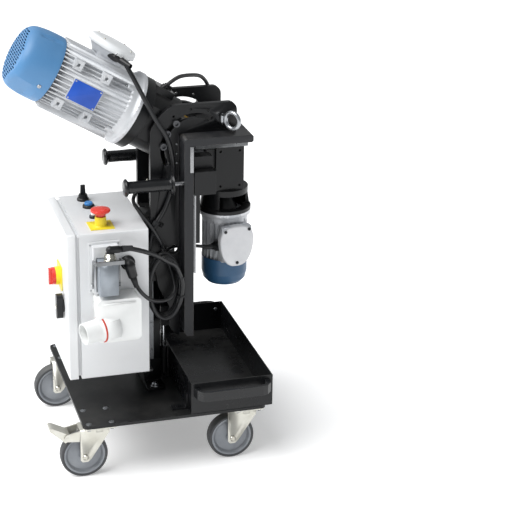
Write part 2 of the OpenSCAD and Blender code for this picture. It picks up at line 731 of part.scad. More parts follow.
// Table frame: the table and its leg, one bent form with a window for the head
module table_section() difference() {
  union() {
    polygon([
      [leg_x, leg_bottom + 12], [leg_x + 8, leg_bottom], [leg_right, leg_bottom], [leg_right, table_z],
      [table_right - 4, table_z], [table_right, table_z + 4], [table_right, table_top - 4],
      [table_right - 4, table_top], [leg_x + 10, table_top], [leg_x, table_top - 10]
    ]);
    translate([leg_x + 10, table_top - 10]) circle(10);
  }
}
module table_frame() color(dark_steel) {
  difference() {
    wall_xz(-table_l / 2, table_l / 2) table_section();
    block([leg_x - 1, -window_half, window_z], [cutout_x, window_half, table_top + 1]);
    for (s = [-1, 1], x = [150, 185]) translate([x, s * (quad_in + quad_t / 2), table_z - 1])
      cylinder(r = 4.2, h = 7);
    for (s = [-1, 1]) translate([0, s * handle_y, handle_z]) rod_x(leg_x - 1, leg_right + 1, 6.05);
  }
  for (s = [-1, 1]) {
    y0 = s > 0 ? 88 : -128;
    block([leg_right + 6, y0, plate_top], [table_right - 12, y0 + 40, table_z + e]);
    block([leg_right - e, y0, plate_top - 58], [leg_right + 2, y0 + 40, table_z - 1]);
    y1 = s > 0 ? 100 : -112;
    translate([leg_right - e, y1, 500]) linear_extrude(224)
      polygon([[0, 0], [8, 0], [8, -3], [12, -3], [12, 15], [8, 15], [8, 12], [0, 12]]);
  }
}

// Push handles: steel rods in the leg, each with a flanged grip on it
module push_handles() for (s = [-1, 1]) translate([0, s * handle_y, handle_z]) {
  color(silver) rod_x(-90, leg_right - 2, 6);
  color(black) difference() {
    rotate([0, 90, 0]) rotate_extrude() polygon([
      [0, -104], [19, -104], [23, -100], [23, -97], [16, -92], [15.5, -60], [16.5, -30], [15.5, 0],
      [17, 16], [28, 19], [30, 23], [12, 26], [0, 26]
    ]);
    rod_x(-95, 40, 6.1);
  }
}

nipple_at = [-125, -8, 90];
nipple_tip = 23;
nipple_l = 14;
// Gear housing: flange ring, barrel clamped between the quadrants, spindle nose
module gear_housing() color(black) at_head() difference() {
  union() {
    rod_x(flange_x + 0.02, -154, 97);
    rod_x(-156, -148, 88);
    intersection() {
      rod_x(-150, -66, 82);
      block([-151, -68.5, -90], [-65, 68.5, 90]);
    }
    rod_x(-73, -50, 38);
    block([-150, -34, 60], [-98, 34, 92]);
    translate([-104, 12, 91]) cylinder(r = 8, h = 9, $fn = 6);
    translate(nipple_at) rotate([0, nipple_tip, 0]) {
      translate([0, 0, -12]) cylinder(r = 10, h = 20);
      cylinder(r = 7.5, h = nipple_l);
    }
  }
  for (a = lock_angles, s = [-1, 1]) rotate([0, a, 0]) translate([-slot_r, 0, 0])
    rod_y(s > 0 ? 50 : -70, s > 0 ? 70 : -50, 6.05);
  rod_x(-80, -49, 20.06);
}
// Lock bolts that clamp the housing in the quadrant slots
module lock_bolts() color(silver) at_head() for (a = lock_angles, s = [-1, 1])
  rotate([0, a, 0]) translate([-slot_r, 0, 0]) scale([1, s, 1]) difference() {
    union() {
      rod_y(52, quad_in + quad_t + 0.5, 6);
      rod_y(quad_in + quad_t + 0.3, quad_in + quad_t + 10.3, 9);
    }
    rod_y(quad_in + quad_t + 5, quad_in + quad_t + 11, 5);
  }
// Milling cutter on its arbor, with pocketed inserts
module cutter_head() color("#9a9d9f") at_head() {
  difference() {
    union() {
      rod_x(-79, -45, 20);
      rod_x(-46, cutter_x - 2, cutter_d / 2 - 4);
      for (a = [0 : 45 : 315]) rotate([a, 0, 0])
        block([-44, -5, 20], [cutter_x - 1, 5, cutter_d / 2 - 1]);
    }
    for (a = [0 : 45 : 315]) rotate([a, 0, 0])
      block([-40, 5, cutter_d / 2 - 14], [cutter_x + 1, 15, cutter_d]);
    rod_x(cutter_x - 8, cutter_x + 1, 16);
  }
  for (a = [0 : 45 : 315]) rotate([a, 0, 0])
    block([cutter_x - 13, 3, cutter_d / 2 - 13], [cutter_x, 6.5, cutter_d / 2]);
}

// Main motor: flange, end shield, ribbed body with foot pads, rear bearing boss
module rib_ring(core, tip, count, w) {
  circle(core);
  for (i = [0 : count - 1]) rotate(i * 360 / count) translate([core - 2, -w / 2]) square([tip - core + 2, w]);
}
module main_motor() color("#c3c7cb") at_head() difference() {
  union() {
    rod_x(flange_x - flange_t, flange_x, motor_flange_d / 2);
    translate([flange_x - flange_t - shield_l, 0, 0]) on_x() cylinder(r1 = motor_r, r2 = 94, h = shield_l + e);
    translate([cover_x, 0, 0]) on_x() linear_extrude(flange_x - flange_t - shield_l - cover_x + e)
      rib_ring(motor_r - 9, motor_r, 44, 2.6);
    block([-404, -42, -90], [-212, 42, -60]);
    block([-404, -36, 60], [-212, 36, 89]);
    for (x = [-372, -292], s = [-1, 1], t = [-1, 1])
      block([x - 12, s > 0 ? 56 : -80, t > 0 ? 42 : -68], [x + 12, s > 0 ? 80 : -56, t > 0 ? 68 : -42]);
  }
  for (x = [-372, -292], s = [-1, 1], t = [-1, 1])
    translate([x, 0, t * 55]) rod_y(s > 0 ? 68 : -81, s > 0 ? 81 : -68, 4.2);
  rod_x(cover_x - 1, cover_x + 40, 12.08);
  for (a = [45 : 90 : 315]) rotate([a, 0, 0])
    translate([0, 0, 82.5]) rod_x(flange_x - flange_t - 1, flange_x + 1, 6);
}
// Fan cover: rounded cap with a slotted grille in its end
module cap_profile(grow) polygon([
  [0, 0], [motor_r - 34 - grow, 0], [motor_r - cap_rim[1] - grow, cap_rim[0]], [motor_r - 6 - grow, 15], [motor_r - 1 - grow, 30],
  [motor_r + 1 - grow, 60], [motor_r + 1 - grow, cover_l + 8], [0, cover_l + 8]
]);
module main_fan_cover() color(motor_blue) at_head() translate([flange_x - motor_l, 0, 0]) on_x() difference() {
  rotate_extrude() cap_profile(0);
  translate([0, 0, 2]) rotate_extrude() cap_profile(2);
  intersection() {
    for (y = [-66 : 9 : 66]) translate([-70, y - 2.2, -1]) cube([140, 4.4, 12]);
    translate([0, 0, -1]) difference() {
      cylinder(r = 62, h = 5);
      for (a = [0, 120, 240]) rotate(a) translate([-3, 0, -1]) cube([6, 70, 8]);
      translate([0, 0, -1]) cylinder(r = 9, h = 8);
    }
  }
  translate([0, 0, cover_l]) rotate_extrude() polygon([[0, -0.02], [motor_r + 0.2, -0.02], [motor_r + 0.2, 9], [0, 9]]);
}
// Round terminal box on the motor, with its lid and cord gland
gland_dir = 52;
gland_reach = 72;
module terminal_box() color("#e3e5e6") at_head() translate([terminal_x, 0, 0]) difference() {
  union() {
    block([-34, -34, 89.02], [34, 34, 104]);
    translate([0, 0, 96]) cylinder(r1 = 42, r2 = 60, h = 22);
    translate([0, 0, 118 - e]) cylinder(r = 64, h = 12);
    translate([0, 0, 130 - 2 * e]) rotate_extrude() polygon([[0, 0], [64, 0], [61, 6], [52, 9], [0, 10.5]]);
    translate([-28, -16, 112]) rotate([0, 0, -gland_dir]) {
      rod_x(20, 60, 11);
      rod_x(58, gland_reach, 8.5);
    }
  }
  translate([0, 0, 100]) cylinder(r = 38, h = 30);
}
// Shaft end and fan inside the fan cover
module motor_fan() color("#2f3337") at_head() {
  rod_x(cover_x - 46, cover_x + 38, 12);
  rod_x(cover_x - 50, cover_x - 12, 24);
  for (a = [0 : 45 : 315]) rotate([a, 0, 0]) block([cover_x - 48, -1.5, 20], [cover_x - 14, 1.5, 72]);
}

// Lower jaw: cross bar under the throat on a slide plate that runs on the leg's rails
module jaw_slide() color(dark_steel) {
  difference() {
    union() {
      block([leg_right + 2.4, -table_l / 2, jaw_bar_z], [jaw_bar_right, table_l / 2, jaw_bar_top]);
      block([leg_right + 0.4, -110, 582], [leg_right + 24, 110, jaw_bar_z + e]);
      block([leg_right + 24 - e, -20, 550], [leg_right + 44, 20, jaw_bar_z + e]);
    }
    block([roller_x - 4, -48, jaw_bar_z + 14], [roller_x + roller_w + 4, 48, jaw_bar_top + 1]);
    for (s = [-1, 1]) {
      y1 = s > 0 ? 100 : -112;
      translate([leg_right, y1, 570]) linear_extrude(jaw_bar_top)
        polygon([
          [-1, -0.4], [7.6, -0.4], [7.6, -3.4], [12.4, -3.4], [12.4, 15.4], [7.6, 15.4], [7.6, 12.4], [-1, 12.4]
        ]);
    }
    translate([0, 0, roller_z]) rod_x(leg_right + 1, jaw_bar_right + 1, 12.08);
  }
  for (s = [-1, 1]) translate([0, s * 96, 0])
    block([leg_right + 8, -18, jaw_bar_top - e], [jaw_bar_right - 4, 18, jaw_bar_top + 34]);
  difference() {
    block([leg_right + 4, -24, jaw_bar_top - e], [roller_x - 4.5, 24, roller_z + 24]);
    translate([0, 0, roller_z]) rod_x(leg_right + 1, roller_x, 12.08);
  }
}
// Feed roller: knurled tyre on its shaft, driven from the gearbox
module feed_roller() color("#7f8284") translate([0, 0, roller_z]) {
  rod_x(leg_right + 6, feed_x - 30, 12);
  difference() {
    rod_x(roller_x, roller_x + roller_w, roller_r);
    for (a = [0 : 12 : 348]) rotate([a, 0, 0])
      translate([0, 0, roller_r + 0.6]) rotate([45, 0, 0])
        block([roller_x + 3, -1.5, -1.5], [roller_x + roller_w - 3, 1.5, 1.5]);
  }
}
// Bevel gearbox with its lantern: the cone round the input shaft shows in the cut-out
module feed_gearbox() color(black) {
  difference() {
    union() {
      block([feed_x - 38, -50, 698], [feed_x + 38, 50, 822]);
      block([jaw_bar_right + 0.02, -40, jaw_bar_z + 2], [feed_x - 37, 40, jaw_bar_top + 26]);
      translate([feed_x, 0, 690]) cylinder(r = 62, h = 9);
    }
    translate([0, 0, roller_z]) rod_x(jaw_bar_right - 1, feed_x - 28, 12.08);
    for (s = [-1, 1], x = [-26, 26], z = [712, 808])
      translate([feed_x + x, 0, z]) rod_y(s > 0 ? 44 : -51, s > 0 ? 51 : -44, 3.4);
  }
  difference() {
    translate([feed_x, 0, feed_flange_top + 0.02]) rotate_extrude()
      polygon([[46, 0], [70, 0], [70, 9], [66, 14], [62, 40], [62, 56], [56, 56], [56, 14], [46, 9]]);
    translate([feed_x, 0, feed_flange_top + 10]) linear_extrude(38)
      polygon([[0, 0], [-60, -110], [110, -110], [110, -20]]);
  }
  translate([feed_x, 0, feed_flange_top + 4]) cylinder(r1 = 34, r2 = 15, h = 34);
  translate([feed_x, 0, feed_flange_top + 37]) cylinder(r = 13, h = 19);
}
// Feed motor: flange, end shield, ribbed body, egg-shaped terminal cover and gland
module feed_motor() color("#b7bbbf") translate([feed_x, 0, 0]) {
  difference() {
    union() {
      translate([0, 0, feed_flange_top - 10]) cylinder(r = feed_flange_d / 2, h = 10);
      translate([0, 0, feed_flange_top - 30]) cylinder(r1 = feed_r, r2 = 64, h = 20 + e);
      translate([0, 0, feed_body_z]) linear_extrude(feed_flange_top - 30 - feed_body_z + e)
        rib_ring(feed_r - 7, feed_r, 30, 2.4);
      translate([0, 0, 548]) rotate([0, 0, 8]) block([-36, -68, -44], [36, -30, 50]);
    }
    for (a = [45 : 90 : 315]) rotate([0, 0, a])
      translate([57.5, 0, feed_flange_top - 31]) cylinder(r = 4.5, h = 32);
    translate([0, 0, feed_body_z - 1]) cylinder(r = 8.1, h = 30);
  }
  rotate([0, 0, 8]) wall_xz(-82, -68 + e) hull() {
    for (x = [-36, 36]) translate([x, 602]) circle(6, $fn = 32);
    for (x = [-22, 22]) translate([x, 560]) circle(24, $fn = 32);
    translate([0, 524]) circle(27, $fn = 32);
  }
  rotate([0, 0, 8]) translate([0, -50, 548]) {
    translate([0, 0, 0]) rod_x(-50, -35, 12);
    rod_x(-58, -49, 9);
  }
}
feed_gland_end = [feed_x - 58 * cos(8) + 50 * sin(8), -58 * sin(8) - 50 * cos(8), 548];
module feed_fan_cover() color("#3f6a97") translate([feed_x, 0, feed_cover_z]) difference() {
  rotate_extrude() polygon([
    [0, 0], [34, 0], [48, 5], [57, 15], [feed_r + 1, 34], [feed_r + 1, 79], [0, 79]
  ]);
  translate([0, 0, 2]) rotate_extrude() polygon([
    [0, 0], [33, 0], [46, 5], [55, 15], [feed_r - 1, 34], [feed_r - 1, 69], [0, 69]
  ]);
  translate([0, 0, feed_body_z - feed_cover_z - 0.02]) cylinder(r = feed_r + 0.2, h = 10);
  intersection() {
    for (y = [-36 : 9 : 36]) translate([-44, y - 2.2, -1]) cube([88, 4.4, 5]);
    translate([0, 0, -1]) cylinder(r = 33, h = 6);
  }
}

// A cord is a tube swept along hand-set points, square to what it meets at its ends
function unit(v) = v / norm(v);
function tangent(p, i) = unit(p[min(i + 1, len(p) - 1)] - p[max(i - 1, 0)]);
function side(t) = unit(cross(t, abs(t.z) > 0.9 ? [1, 0, 0] : [0, 0, 1]));
function spline(p, n) = concat([for (i = [0 : len(p) - 2], j = [0 : n - 1])
  let (a = p[max(i - 1, 0)], b = p[i], c = p[i + 1], d = p[min(i + 2, len(p) - 1)], t = j / n)
  0.5 * (2 * b + (c - a) * t + (2 * a - 5 * b + 4 * c - d) * t * t + (3 * b - a - 3 * c + d) * t * t * t)],
  [p[len(p) - 1]]);
function carried(p, s, i) = i == 0 ? [side(tangent(p, 0))] :
  let (last = carried(p, s, i - 1), v = last[i - 1], t = tangent(p, i)) concat(last, [unit(v - (v * t) * t)]);
module tube(p, r, sides) {
  u = carried(p, sides, len(p) - 1);
  points = [for (i = [0 : len(p) - 1]) let (t = tangent(p, i), v = cross(t, u[i])) for (k = [0 : sides - 1])
    p[i] + r * (cos(k * 360 / sides) * u[i] + sin(k * 360 / sides) * v)];
  last = (len(p) - 1) * sides;
  faces = concat(
    [for (k = [1 : sides - 2]) [0, k, k + 1]],
    [for (i = [0 : len(p) - 2], k = [0 : sides - 1]) let (a = i * sides + k, b = i * sides + (k + 1) % sides)
      each [[a, a + sides, b], [b, a + sides, b + sides]]],
    [for (k = [1 : sides - 2]) [last, last + k + 1, last + k]]);
  polyhedron(points, faces);
}
function to_world(v) = [
  pivot_x + v.x * cos(bevel_angle) + v.z * sin(bevel_angle), v.y,
  pivot_z - v.x * sin(bevel_angle) + v.z * cos(bevel_angle)
];
function turned(v) = to_world(v) - [pivot_x, 0, pivot_z];

cord_r = 6;
lead_r = 5;
feed_r_cord = 4.5;
hose_r = 5.2;

// Main motor cord, from the gland of the terminal box to its clip on the front quadrant
gland_end = to_world([terminal_x - 28 + gland_reach * cos(gland_dir), -16 - gland_reach * sin(gland_dir), 112]);
gland_out = turned([cos(gland_dir), -sin(gland_dir), 0]);
clip_at = [-12, -94, 641];
clip_dir = [0.5, 0, cos(30)];
head_route = [
  gland_end + 13 * gland_out, [-67, -100, 1031], [-22, -109, 939], [14, -110, 876],
  [30, -103, 818], [34, -92.4, 768], [29, -92.4, 728], [11, -94, 680], clip_at + 13 * clip_dir
];
module head_cord() color(black)
  tube(concat([gland_end + 0.05 * gland_out], spline(head_route, 2), [clip_at]), cord_r, 10);

// The coil: oval turns by formula, from the connector's elbow to the slack
coil_at = [-0.5, -151, 480];
coil_rx = 42.5;
coil_rz = 86;
coil_pitch = 12.8;
coil_from = 60;
coil_to = 990;
function coil_point(a) = coil_at + [
  (coil_rx + 1.5 * cos(a / 2)) * sin(a), coil_pitch * (a - coil_from) / 360, (coil_rz + 2.5 * cos(a / 2)) * cos(a)
];
coil_end = coil_point(coil_to) + [0, 0, 13];
elbow_end = [-130, cab_y - 46.2, 633];
coil_lead = [elbow_end + [13, 0, 0], [-88, -224, 624], [-45, -204, 600], [-6, -180, 567], coil_point(coil_from)];
coil_turns = [for (a = [coil_from : 15 : coil_to]) coil_point(a)];
coil_path = concat([elbow_end], spline(coil_lead, 2),
  [for (i = [1 : len(coil_turns) - 1]) coil_turns[i]], [coil_end]);
module cord_coil() color(black) tube(coil_path, cord_r, 6);

// Least gap between two turns of the coil, over points 5 degrees apart
coil_gap = min([for (a = [coil_from : 5 : coil_to - 270], b = [a + 270 : 5 : min(a + 450, coil_to)])
  norm(coil_point(a) - coil_point(b))]) - 2 * cord_r;
echo(coil_gap = coil_gap);

// Its slack, from the clip down to the coil
slack_route = [clip_at - 13 * clip_dir, [-30, -100, 590], [-39, -111, 545], coil_end + [0, 0, 13]];
module slack_cord() color(black)
  tube(concat([clip_at - 0.05 * clip_dir], spline(slack_route, 2), [coil_end]), cord_r, 10);

// Lead from the round plug, up through the coil and over to the rear quadrant
lead_end = [6, 56, 700];
lead_route = [
  plug_end + 11 * plug_dir, [-78, -205, 500], [-52, -196, 473], [-24, -180, 459], [6, -160, 456], [25, -141, 472],
  [24, -119, 505], [14, -107, 540], [3, -107, 568], [-10, -117, 604], [-32, -126, 644], [-62, -128, 688],
  [-77, -117, 717], [-62, -94, 733], [-38, -70, 727], [-16, -47, 714], [0, -12, 704], lead_end - [0, 11, 0]
];
module switch_lead() color(black)
  tube(concat([plug_end + 0.05 * plug_dir], spline(lead_route, 2), [lead_end]), lead_r, 8);

// Hose from the gear housing, over the rear quadrant to its fitting on the table
hose_start = to_world(nipple_at + nipple_l * [sin(nipple_tip), 0, cos(nipple_tip)]);
hose_out = turned([sin(nipple_tip), 0, cos(nipple_tip)]);
hose_foot = [180, 100, table_top + 14];
hose_route = [
  hose_start + 11 * hose_out, [76, 8, 1001], [112, 35, 996], [148, 68, 982], [172, 93, 955], [180, 100, 926],
  hose_foot + [0, 0, 11]
];
module hose() color(black) tube(concat([hose_start], spline(hose_route, 2), [hose_foot]), hose_r, 8);

// Feed motor cord: through the window to its clip in the leg, then to the cabinet's gland
leg_clip = [64, -62.4, 560];
feed_out = [-cos(8), -sin(8), 0];
feed_route = [feed_gland_end + 10 * feed_out, [105, -62, 555], leg_clip + [10, 0, 0]];
module feed_cord() color(black) tube(concat([feed_gland_end], spline(feed_route, 3), [leg_clip]), feed_r_cord, 8);
feed_slack_end = side_gland + [0, 0, 16];
feed_slack_route = [
  leg_clip - [10, 0, 0], [40, -67, 561], [26, -78, 561], [10, -91, 558], [-12, -99, 544], [-30, -101, 522],
  feed_slack_end + [0, 0, 10]
];
module feed_slack() color(black)
  tube(concat([leg_clip], spline(feed_slack_route, 2), [feed_slack_end]), feed_r_cord, 8);

// Clips of the cords on the carriage, the lead's gland and the hose's fitting
module cord_clips() color(dark_steel) {
  translate(clip_at) rotate([0, 30, 0]) {
    difference() {
      union() {
        cylinder(r = 8.98, h = 12, center = true);
        block([4, 4.98, -6], [22, 8.98, 6]);
      }
      cylinder(r = cord_r + 0.15, h = 20, center = true);
    }
    translate([16, 0, 0]) rod_y(1.5, 5, 4);
  }
  translate(leg_clip) difference() {
    rod_x(-6, 6, 6.58);
    rod_x(-7, 7, feed_r_cord + 0.15);
  }
  translate([lead_end.x, 0, lead_end.z]) {
    rod_y(lead_end.y, quad_in - 0.02, 8);
    rod_y(lead_end.y + 4, quad_in - 3, 10.5);
  }
  translate([hose_foot.x, hose_foot.y, table_top]) {
    cylinder(r = 7.5, h = 14);
    cylinder(r = 11, h = 6, $fn = 6);
  }
}

placed() base_plate();
placed() castor_mounts();
placed() column();
placed() guide_rails();
placed() cabinet_shell();
placed() control_gear();
placed() power_inlet();
placed() {
  connector_housing();
  lever_pins();
}
placed() connector_hood();
placed() hood_lever();
placed() cabinet_plugs();
placed() stop_collar();
placed() button_bezels();
placed() stop_button();
placed() lamp_button();
placed() start_button();
placed() selector_knob();
placed() cabinet_door();
placed() switch_plate();
placed() main_switch();
placed() door_latch();
placed() tray_guides();
placed() tray_box();
placed() tray_handles();
placed() translate([-castor_x, -castor_y, 0]) castor_fork(true);  // castor_fork_fl
placed() translate([castor_x, -castor_y, 0]) castor_fork(false);  // castor_fork_fr
placed() translate([-castor_x, castor_y, 0]) castor_fork(false);  // castor_fork_rl
placed() translate([castor_x, castor_y, 0]) castor_fork(false);  // castor_fork_rr
placed() translate([-castor_x, -castor_y, 0]) castor_wheel();  // castor_wheel_fl
placed() translate([castor_x, -castor_y, 0]) castor_wheel();  // castor_wheel_fr
placed() translate([-castor_x, castor_y, 0]) castor_wheel();  // castor_wheel_rl
placed() translate([castor_x, castor_y, 0]) castor_wheel();  // castor_wheel_rr
placed() translate([-castor_x, -castor_y, 0]) brake_pedal();
placed() quadrant_front();
placed() quadrant_rear();
placed() table_frame();
placed() carriage_blocks();
placed() cord_clips();
placed() lift_rod();
placed() lifting_ring();
placed() push_handles();
placed() gear_housing();
placed() lock_bolts();
placed() main_motor();
placed() main_fan_cover();
placed() terminal_box();
placed() motor_fan();
placed() cutter_head();
placed() jaw_slide();
placed() feed_gearbox();
placed() feed_motor();
placed() feed_fan_cover();
placed() feed_roller();
placed() head_cord();
placed() slack_cord();
placed() cord_coil();
placed() switch_lead();
placed() hose();
placed() feed_cord();
placed() feed_slack();
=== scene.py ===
# %% [markdown]
# # Plate beveling machine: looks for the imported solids
# The solids of the machine arrive finished and in place. This lesson dresses them: it sets the camera, lays
# the cords, mixes the paints and metals, and swaps the plainer solids for pieces with softer, fuller forms.
# Every new mesh keeps its place inside itself, so its object stays at the origin.

# %% The frame of solids
import json
import math

import bmesh
import bpy
from mathutils import Matrix, Vector

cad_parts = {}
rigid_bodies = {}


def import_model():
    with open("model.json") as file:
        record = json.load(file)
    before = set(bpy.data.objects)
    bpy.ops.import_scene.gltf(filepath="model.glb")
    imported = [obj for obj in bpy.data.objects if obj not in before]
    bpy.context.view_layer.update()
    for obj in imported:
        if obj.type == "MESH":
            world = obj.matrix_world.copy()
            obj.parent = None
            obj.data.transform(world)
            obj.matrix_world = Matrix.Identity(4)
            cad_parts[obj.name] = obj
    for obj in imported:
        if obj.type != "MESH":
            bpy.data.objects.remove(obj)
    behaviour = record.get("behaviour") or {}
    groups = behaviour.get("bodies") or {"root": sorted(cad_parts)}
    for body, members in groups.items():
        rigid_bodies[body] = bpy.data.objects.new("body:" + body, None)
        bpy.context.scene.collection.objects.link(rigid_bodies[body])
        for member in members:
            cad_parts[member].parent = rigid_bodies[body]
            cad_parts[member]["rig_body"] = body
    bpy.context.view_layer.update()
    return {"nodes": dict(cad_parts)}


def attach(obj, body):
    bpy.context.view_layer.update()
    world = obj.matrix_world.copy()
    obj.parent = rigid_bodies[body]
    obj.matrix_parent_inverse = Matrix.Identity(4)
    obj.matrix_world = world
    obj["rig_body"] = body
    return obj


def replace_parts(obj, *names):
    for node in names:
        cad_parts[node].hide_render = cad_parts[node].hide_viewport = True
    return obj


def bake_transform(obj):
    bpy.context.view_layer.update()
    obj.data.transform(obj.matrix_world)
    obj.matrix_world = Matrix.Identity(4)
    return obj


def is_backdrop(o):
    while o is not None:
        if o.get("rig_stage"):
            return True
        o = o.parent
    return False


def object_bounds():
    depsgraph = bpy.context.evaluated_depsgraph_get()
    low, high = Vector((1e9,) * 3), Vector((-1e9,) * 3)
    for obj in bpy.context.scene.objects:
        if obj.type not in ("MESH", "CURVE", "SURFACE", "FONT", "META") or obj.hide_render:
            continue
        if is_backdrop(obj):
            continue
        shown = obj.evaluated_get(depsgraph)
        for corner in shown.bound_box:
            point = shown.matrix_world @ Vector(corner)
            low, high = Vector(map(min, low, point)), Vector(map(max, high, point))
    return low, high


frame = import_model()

nodes = frame["nodes"]

# %% [markdown]
# The drawing of the machine counts in millimetres from the middle of its column foot. Three placements carry
# a shape from there into the frame: one for upright parts, one for the head, which leans 30 degrees about the
# cutting edge, and two that lay a shape along X or Y when it was made standing.

# %% Placements
MM = 0.001
PLACE = Matrix.Scale(MM, 4) @ Matrix.Translation((56.6044, 7.5, 0))


def at(x, y, z, place=PLACE):
    return place @ Vector((x, y, z))


def spot(x, y, z):
    return Matrix.Translation((x, y, z))


def turn_about(axis, degrees):
    return Matrix.Rotation(math.radians(degrees), 4, axis)


def in_scene(name, data):
    made = bpy.data.objects.new(name, data)
    bpy.context.scene.collection.objects.link(made)
    return made


def frozen(piece):
    return bpy.data.meshes.new_from_object(piece.evaluated_get(bpy.context.evaluated_depsgraph_get()))


ALONG_X = turn_about("Y", 90)
ALONG_Y = turn_about("X", -90)
HEAD = PLACE @ spot(93, 0, 838) @ turn_about("Y", 30)
print("cutting edge at", tuple(round(v, 4) for v in HEAD.translation))

# %% [markdown]
# The camera stands to the left of the machine and above it, and looks down at the carriage. A long lens keeps
# the column's edges close to upright, so that a slight vertical shift is enough for the framing.

# %% Camera
FRAME_WIDTH = 512
FOCAL_LENGTH = 1593.4
camera_data = bpy.data.cameras.new("studio camera")
camera = in_scene("studio camera", camera_data)
bpy.context.scene.camera = camera
camera.matrix_world = (
    spot(-0.8376, -3.8545, 2.1002)
    @ turn_about("Z", -16.623) @ turn_about("X", 90 - 20.344) @ turn_about("Z", 0.805)
)
camera_data.lens = camera_data.sensor_width * FOCAL_LENGTH / FRAME_WIDTH
camera_data.shift_x = 0.0193
camera_data.shift_y = -0.08
print("camera at", tuple(round(v, 3) for v in camera.location))

# %% [markdown]
# A finish is more than one colour. Four effects return in most of the machine's finishes, so each is built
# once as a node group: a fine grain with slow mottling, wear along the edges, dust on what faces up, and long
# brush marks. Groups give out only masks and heights; the shader itself stays in each finish.

# %% Shared effects
def effect(name, inputs, outputs):
    tree = bpy.data.node_groups.new(name, "ShaderNodeTree")
    for label, kind, value in inputs:
        socket = tree.interface.new_socket(label, in_out="INPUT", socket_type="NodeSocket" + kind)
        if value is not None:
            socket.default_value = value
    for label, kind in outputs:
        tree.interface.new_socket(label, in_out="OUTPUT", socket_type="NodeSocket" + kind)
    return tree, tree.nodes.new("NodeGroupInput"), tree.nodes.new("NodeGroupOutput")


def step(tree, kind, **settings):
    node = tree.nodes.new("ShaderNode" + kind)
    for key, value in settings.items():
        setattr(node, key, value)
    return node


def squeeze(tree, source, low, high, out_low=0.0, out_high=1.0):
    ramp = step(tree, "MapRange")
    tree.links.new(source, ramp.inputs["Value"])
    for label, value in (("From Min", low), ("From Max", high), ("To Min", out_low), ("To Max", out_high)):
        ramp.inputs[label].default_value = value
    return ramp.outputs["Result"]


def times(tree, a, b):
    node = step(tree, "Math", operation="MULTIPLY", use_clamp=True)
    for socket, value in zip(node.inputs, (a, b)):
        if isinstance(value, float):
            socket.default_value = value
        else:
            tree.links.new(value, socket)
    return node.outputs[0]


def cloud(tree, position, scale, detail=3.0, roughness=0.55):
    noise = step(tree, "TexNoise")
    noise.inputs["Detail"].default_value = detail
    noise.inputs["Roughness"].default_value = roughness
    tree.links.new(position, noise.inputs["Vector"])
    if isinstance(scale, float):
        noise.inputs["Scale"].default_value = scale
    else:
        tree.links.new(scale, noise.inputs["Scale"])
    return noise.outputs["Fac"]


# %% [markdown]
# Fine grain roughens a surface, and a slow cloud lets its colour and gloss drift from place to place.

# %% Grain and mottling
grain, into, out = effect(
    "grain and mottling",
    [("Grain Scale", "Float", 900.0), ("Mottle Scale", "Float", 6.0)],
    [("Grain", "Float"), ("Mottle", "Float")],
)
place_of = step(grain, "TexCoord").outputs["Object"]
grain.links.new(cloud(grain, place_of, into.outputs["Grain Scale"]), out.inputs["Grain"])
slow = cloud(grain, place_of, into.outputs["Mottle Scale"], 6.0, 0.6)
grain.links.new(squeeze(grain, slow, 0.32, 0.68), out.inputs["Mottle"])

# %% [markdown]
# Paint rubs through first on edges. They are found where the rounded normal departs from the true one, and a
# patchy cloud keeps the wear from running evenly along them.

# %% Wear along edges
wear, into, out = effect(
    "edge wear",
    [("Rounded", "Vector", None), ("Amount", "Float", 0.5), ("Patch Scale", "Float", 40.0)],
    [("Mask", "Float")],
)
dot = step(wear, "VectorMath", operation="DOT_PRODUCT")
wear.links.new(into.outputs["Rounded"], dot.inputs[0])
wear.links.new(step(wear, "NewGeometry").outputs["Normal"], dot.inputs[1])
edge = squeeze(wear, dot.outputs["Value"], 0.985, 0.86)
place_of = step(wear, "TexCoord").outputs["Object"]
patches = squeeze(wear, cloud(wear, place_of, into.outputs["Patch Scale"], 5.0, 0.7), 0.42, 0.62)
rubbed = times(wear, edge, patches)
wear.links.new(times(wear, rubbed, into.outputs["Amount"]), out.inputs["Mask"])

# %% [markdown]
# Dust lies where a surface faces up, in drifts.

# %% Dust on what faces up
dust, into, out = effect(
    "settled dust", [("Amount", "Float", 0.3), ("Patch Scale", "Float", 9.0)], [("Mask", "Float")]
)
split = step(dust, "SeparateXYZ")
dust.links.new(step(dust, "NewGeometry").outputs["Normal"], split.inputs[0])
upward = squeeze(dust, split.outputs["Z"], 0.35, 0.95)
place_of = step(dust, "TexCoord").outputs["Object"]
drift = squeeze(dust, cloud(dust, place_of, into.outputs["Patch Scale"], 8.0, 0.72), 0.36, 0.74)
lying = times(dust, upward, drift)
dust.links.new(times(dust, lying, into.outputs["Amount"]), out.inputs["Mask"])

# %% [markdown]
# Grinding and drawing leave marks that run one way: the same cloud, stretched.

# %% Brush and tool marks
brushed, into, out = effect(
    "brush marks", [("Stretch", "Vector", (1.0, 1.0, 1.0)), ("Scale", "Float", 60.0)], [("Mark", "Float")]
)
drawn = step(brushed, "VectorMath", operation="MULTIPLY")
brushed.links.new(step(brushed, "TexCoord").outputs["Object"], drawn.inputs[0])
brushed.links.new(into.outputs["Stretch"], drawn.inputs[1])
marks = cloud(brushed, drawn.outputs[0], into.outputs["Scale"], 6.0, 0.7)
brushed.links.new(squeeze(brushed, marks, 0.3, 0.7), out.inputs["Mark"])
print("effects:", [tree.name for tree in bpy.data.node_groups])


# %% [markdown]
# The recipe below mixes one finish. Its base colour drifts towards a second one, its edges rub through to a
# worn colour, and dust dulls what faces up. The Bevel node lends every hard edge a small rounded highlight,
# which real cast, folded and painted edges always have.

# %% The recipe for a finish
def linear(hexes):
    channels = [int(hexes[i : i + 2], 16) / 255 for i in (0, 2, 4)]
    return [c / 12.92 if c < 0.04045 else ((c + 0.055) / 1.055) ** 2.4 for c in channels] + [1.0]


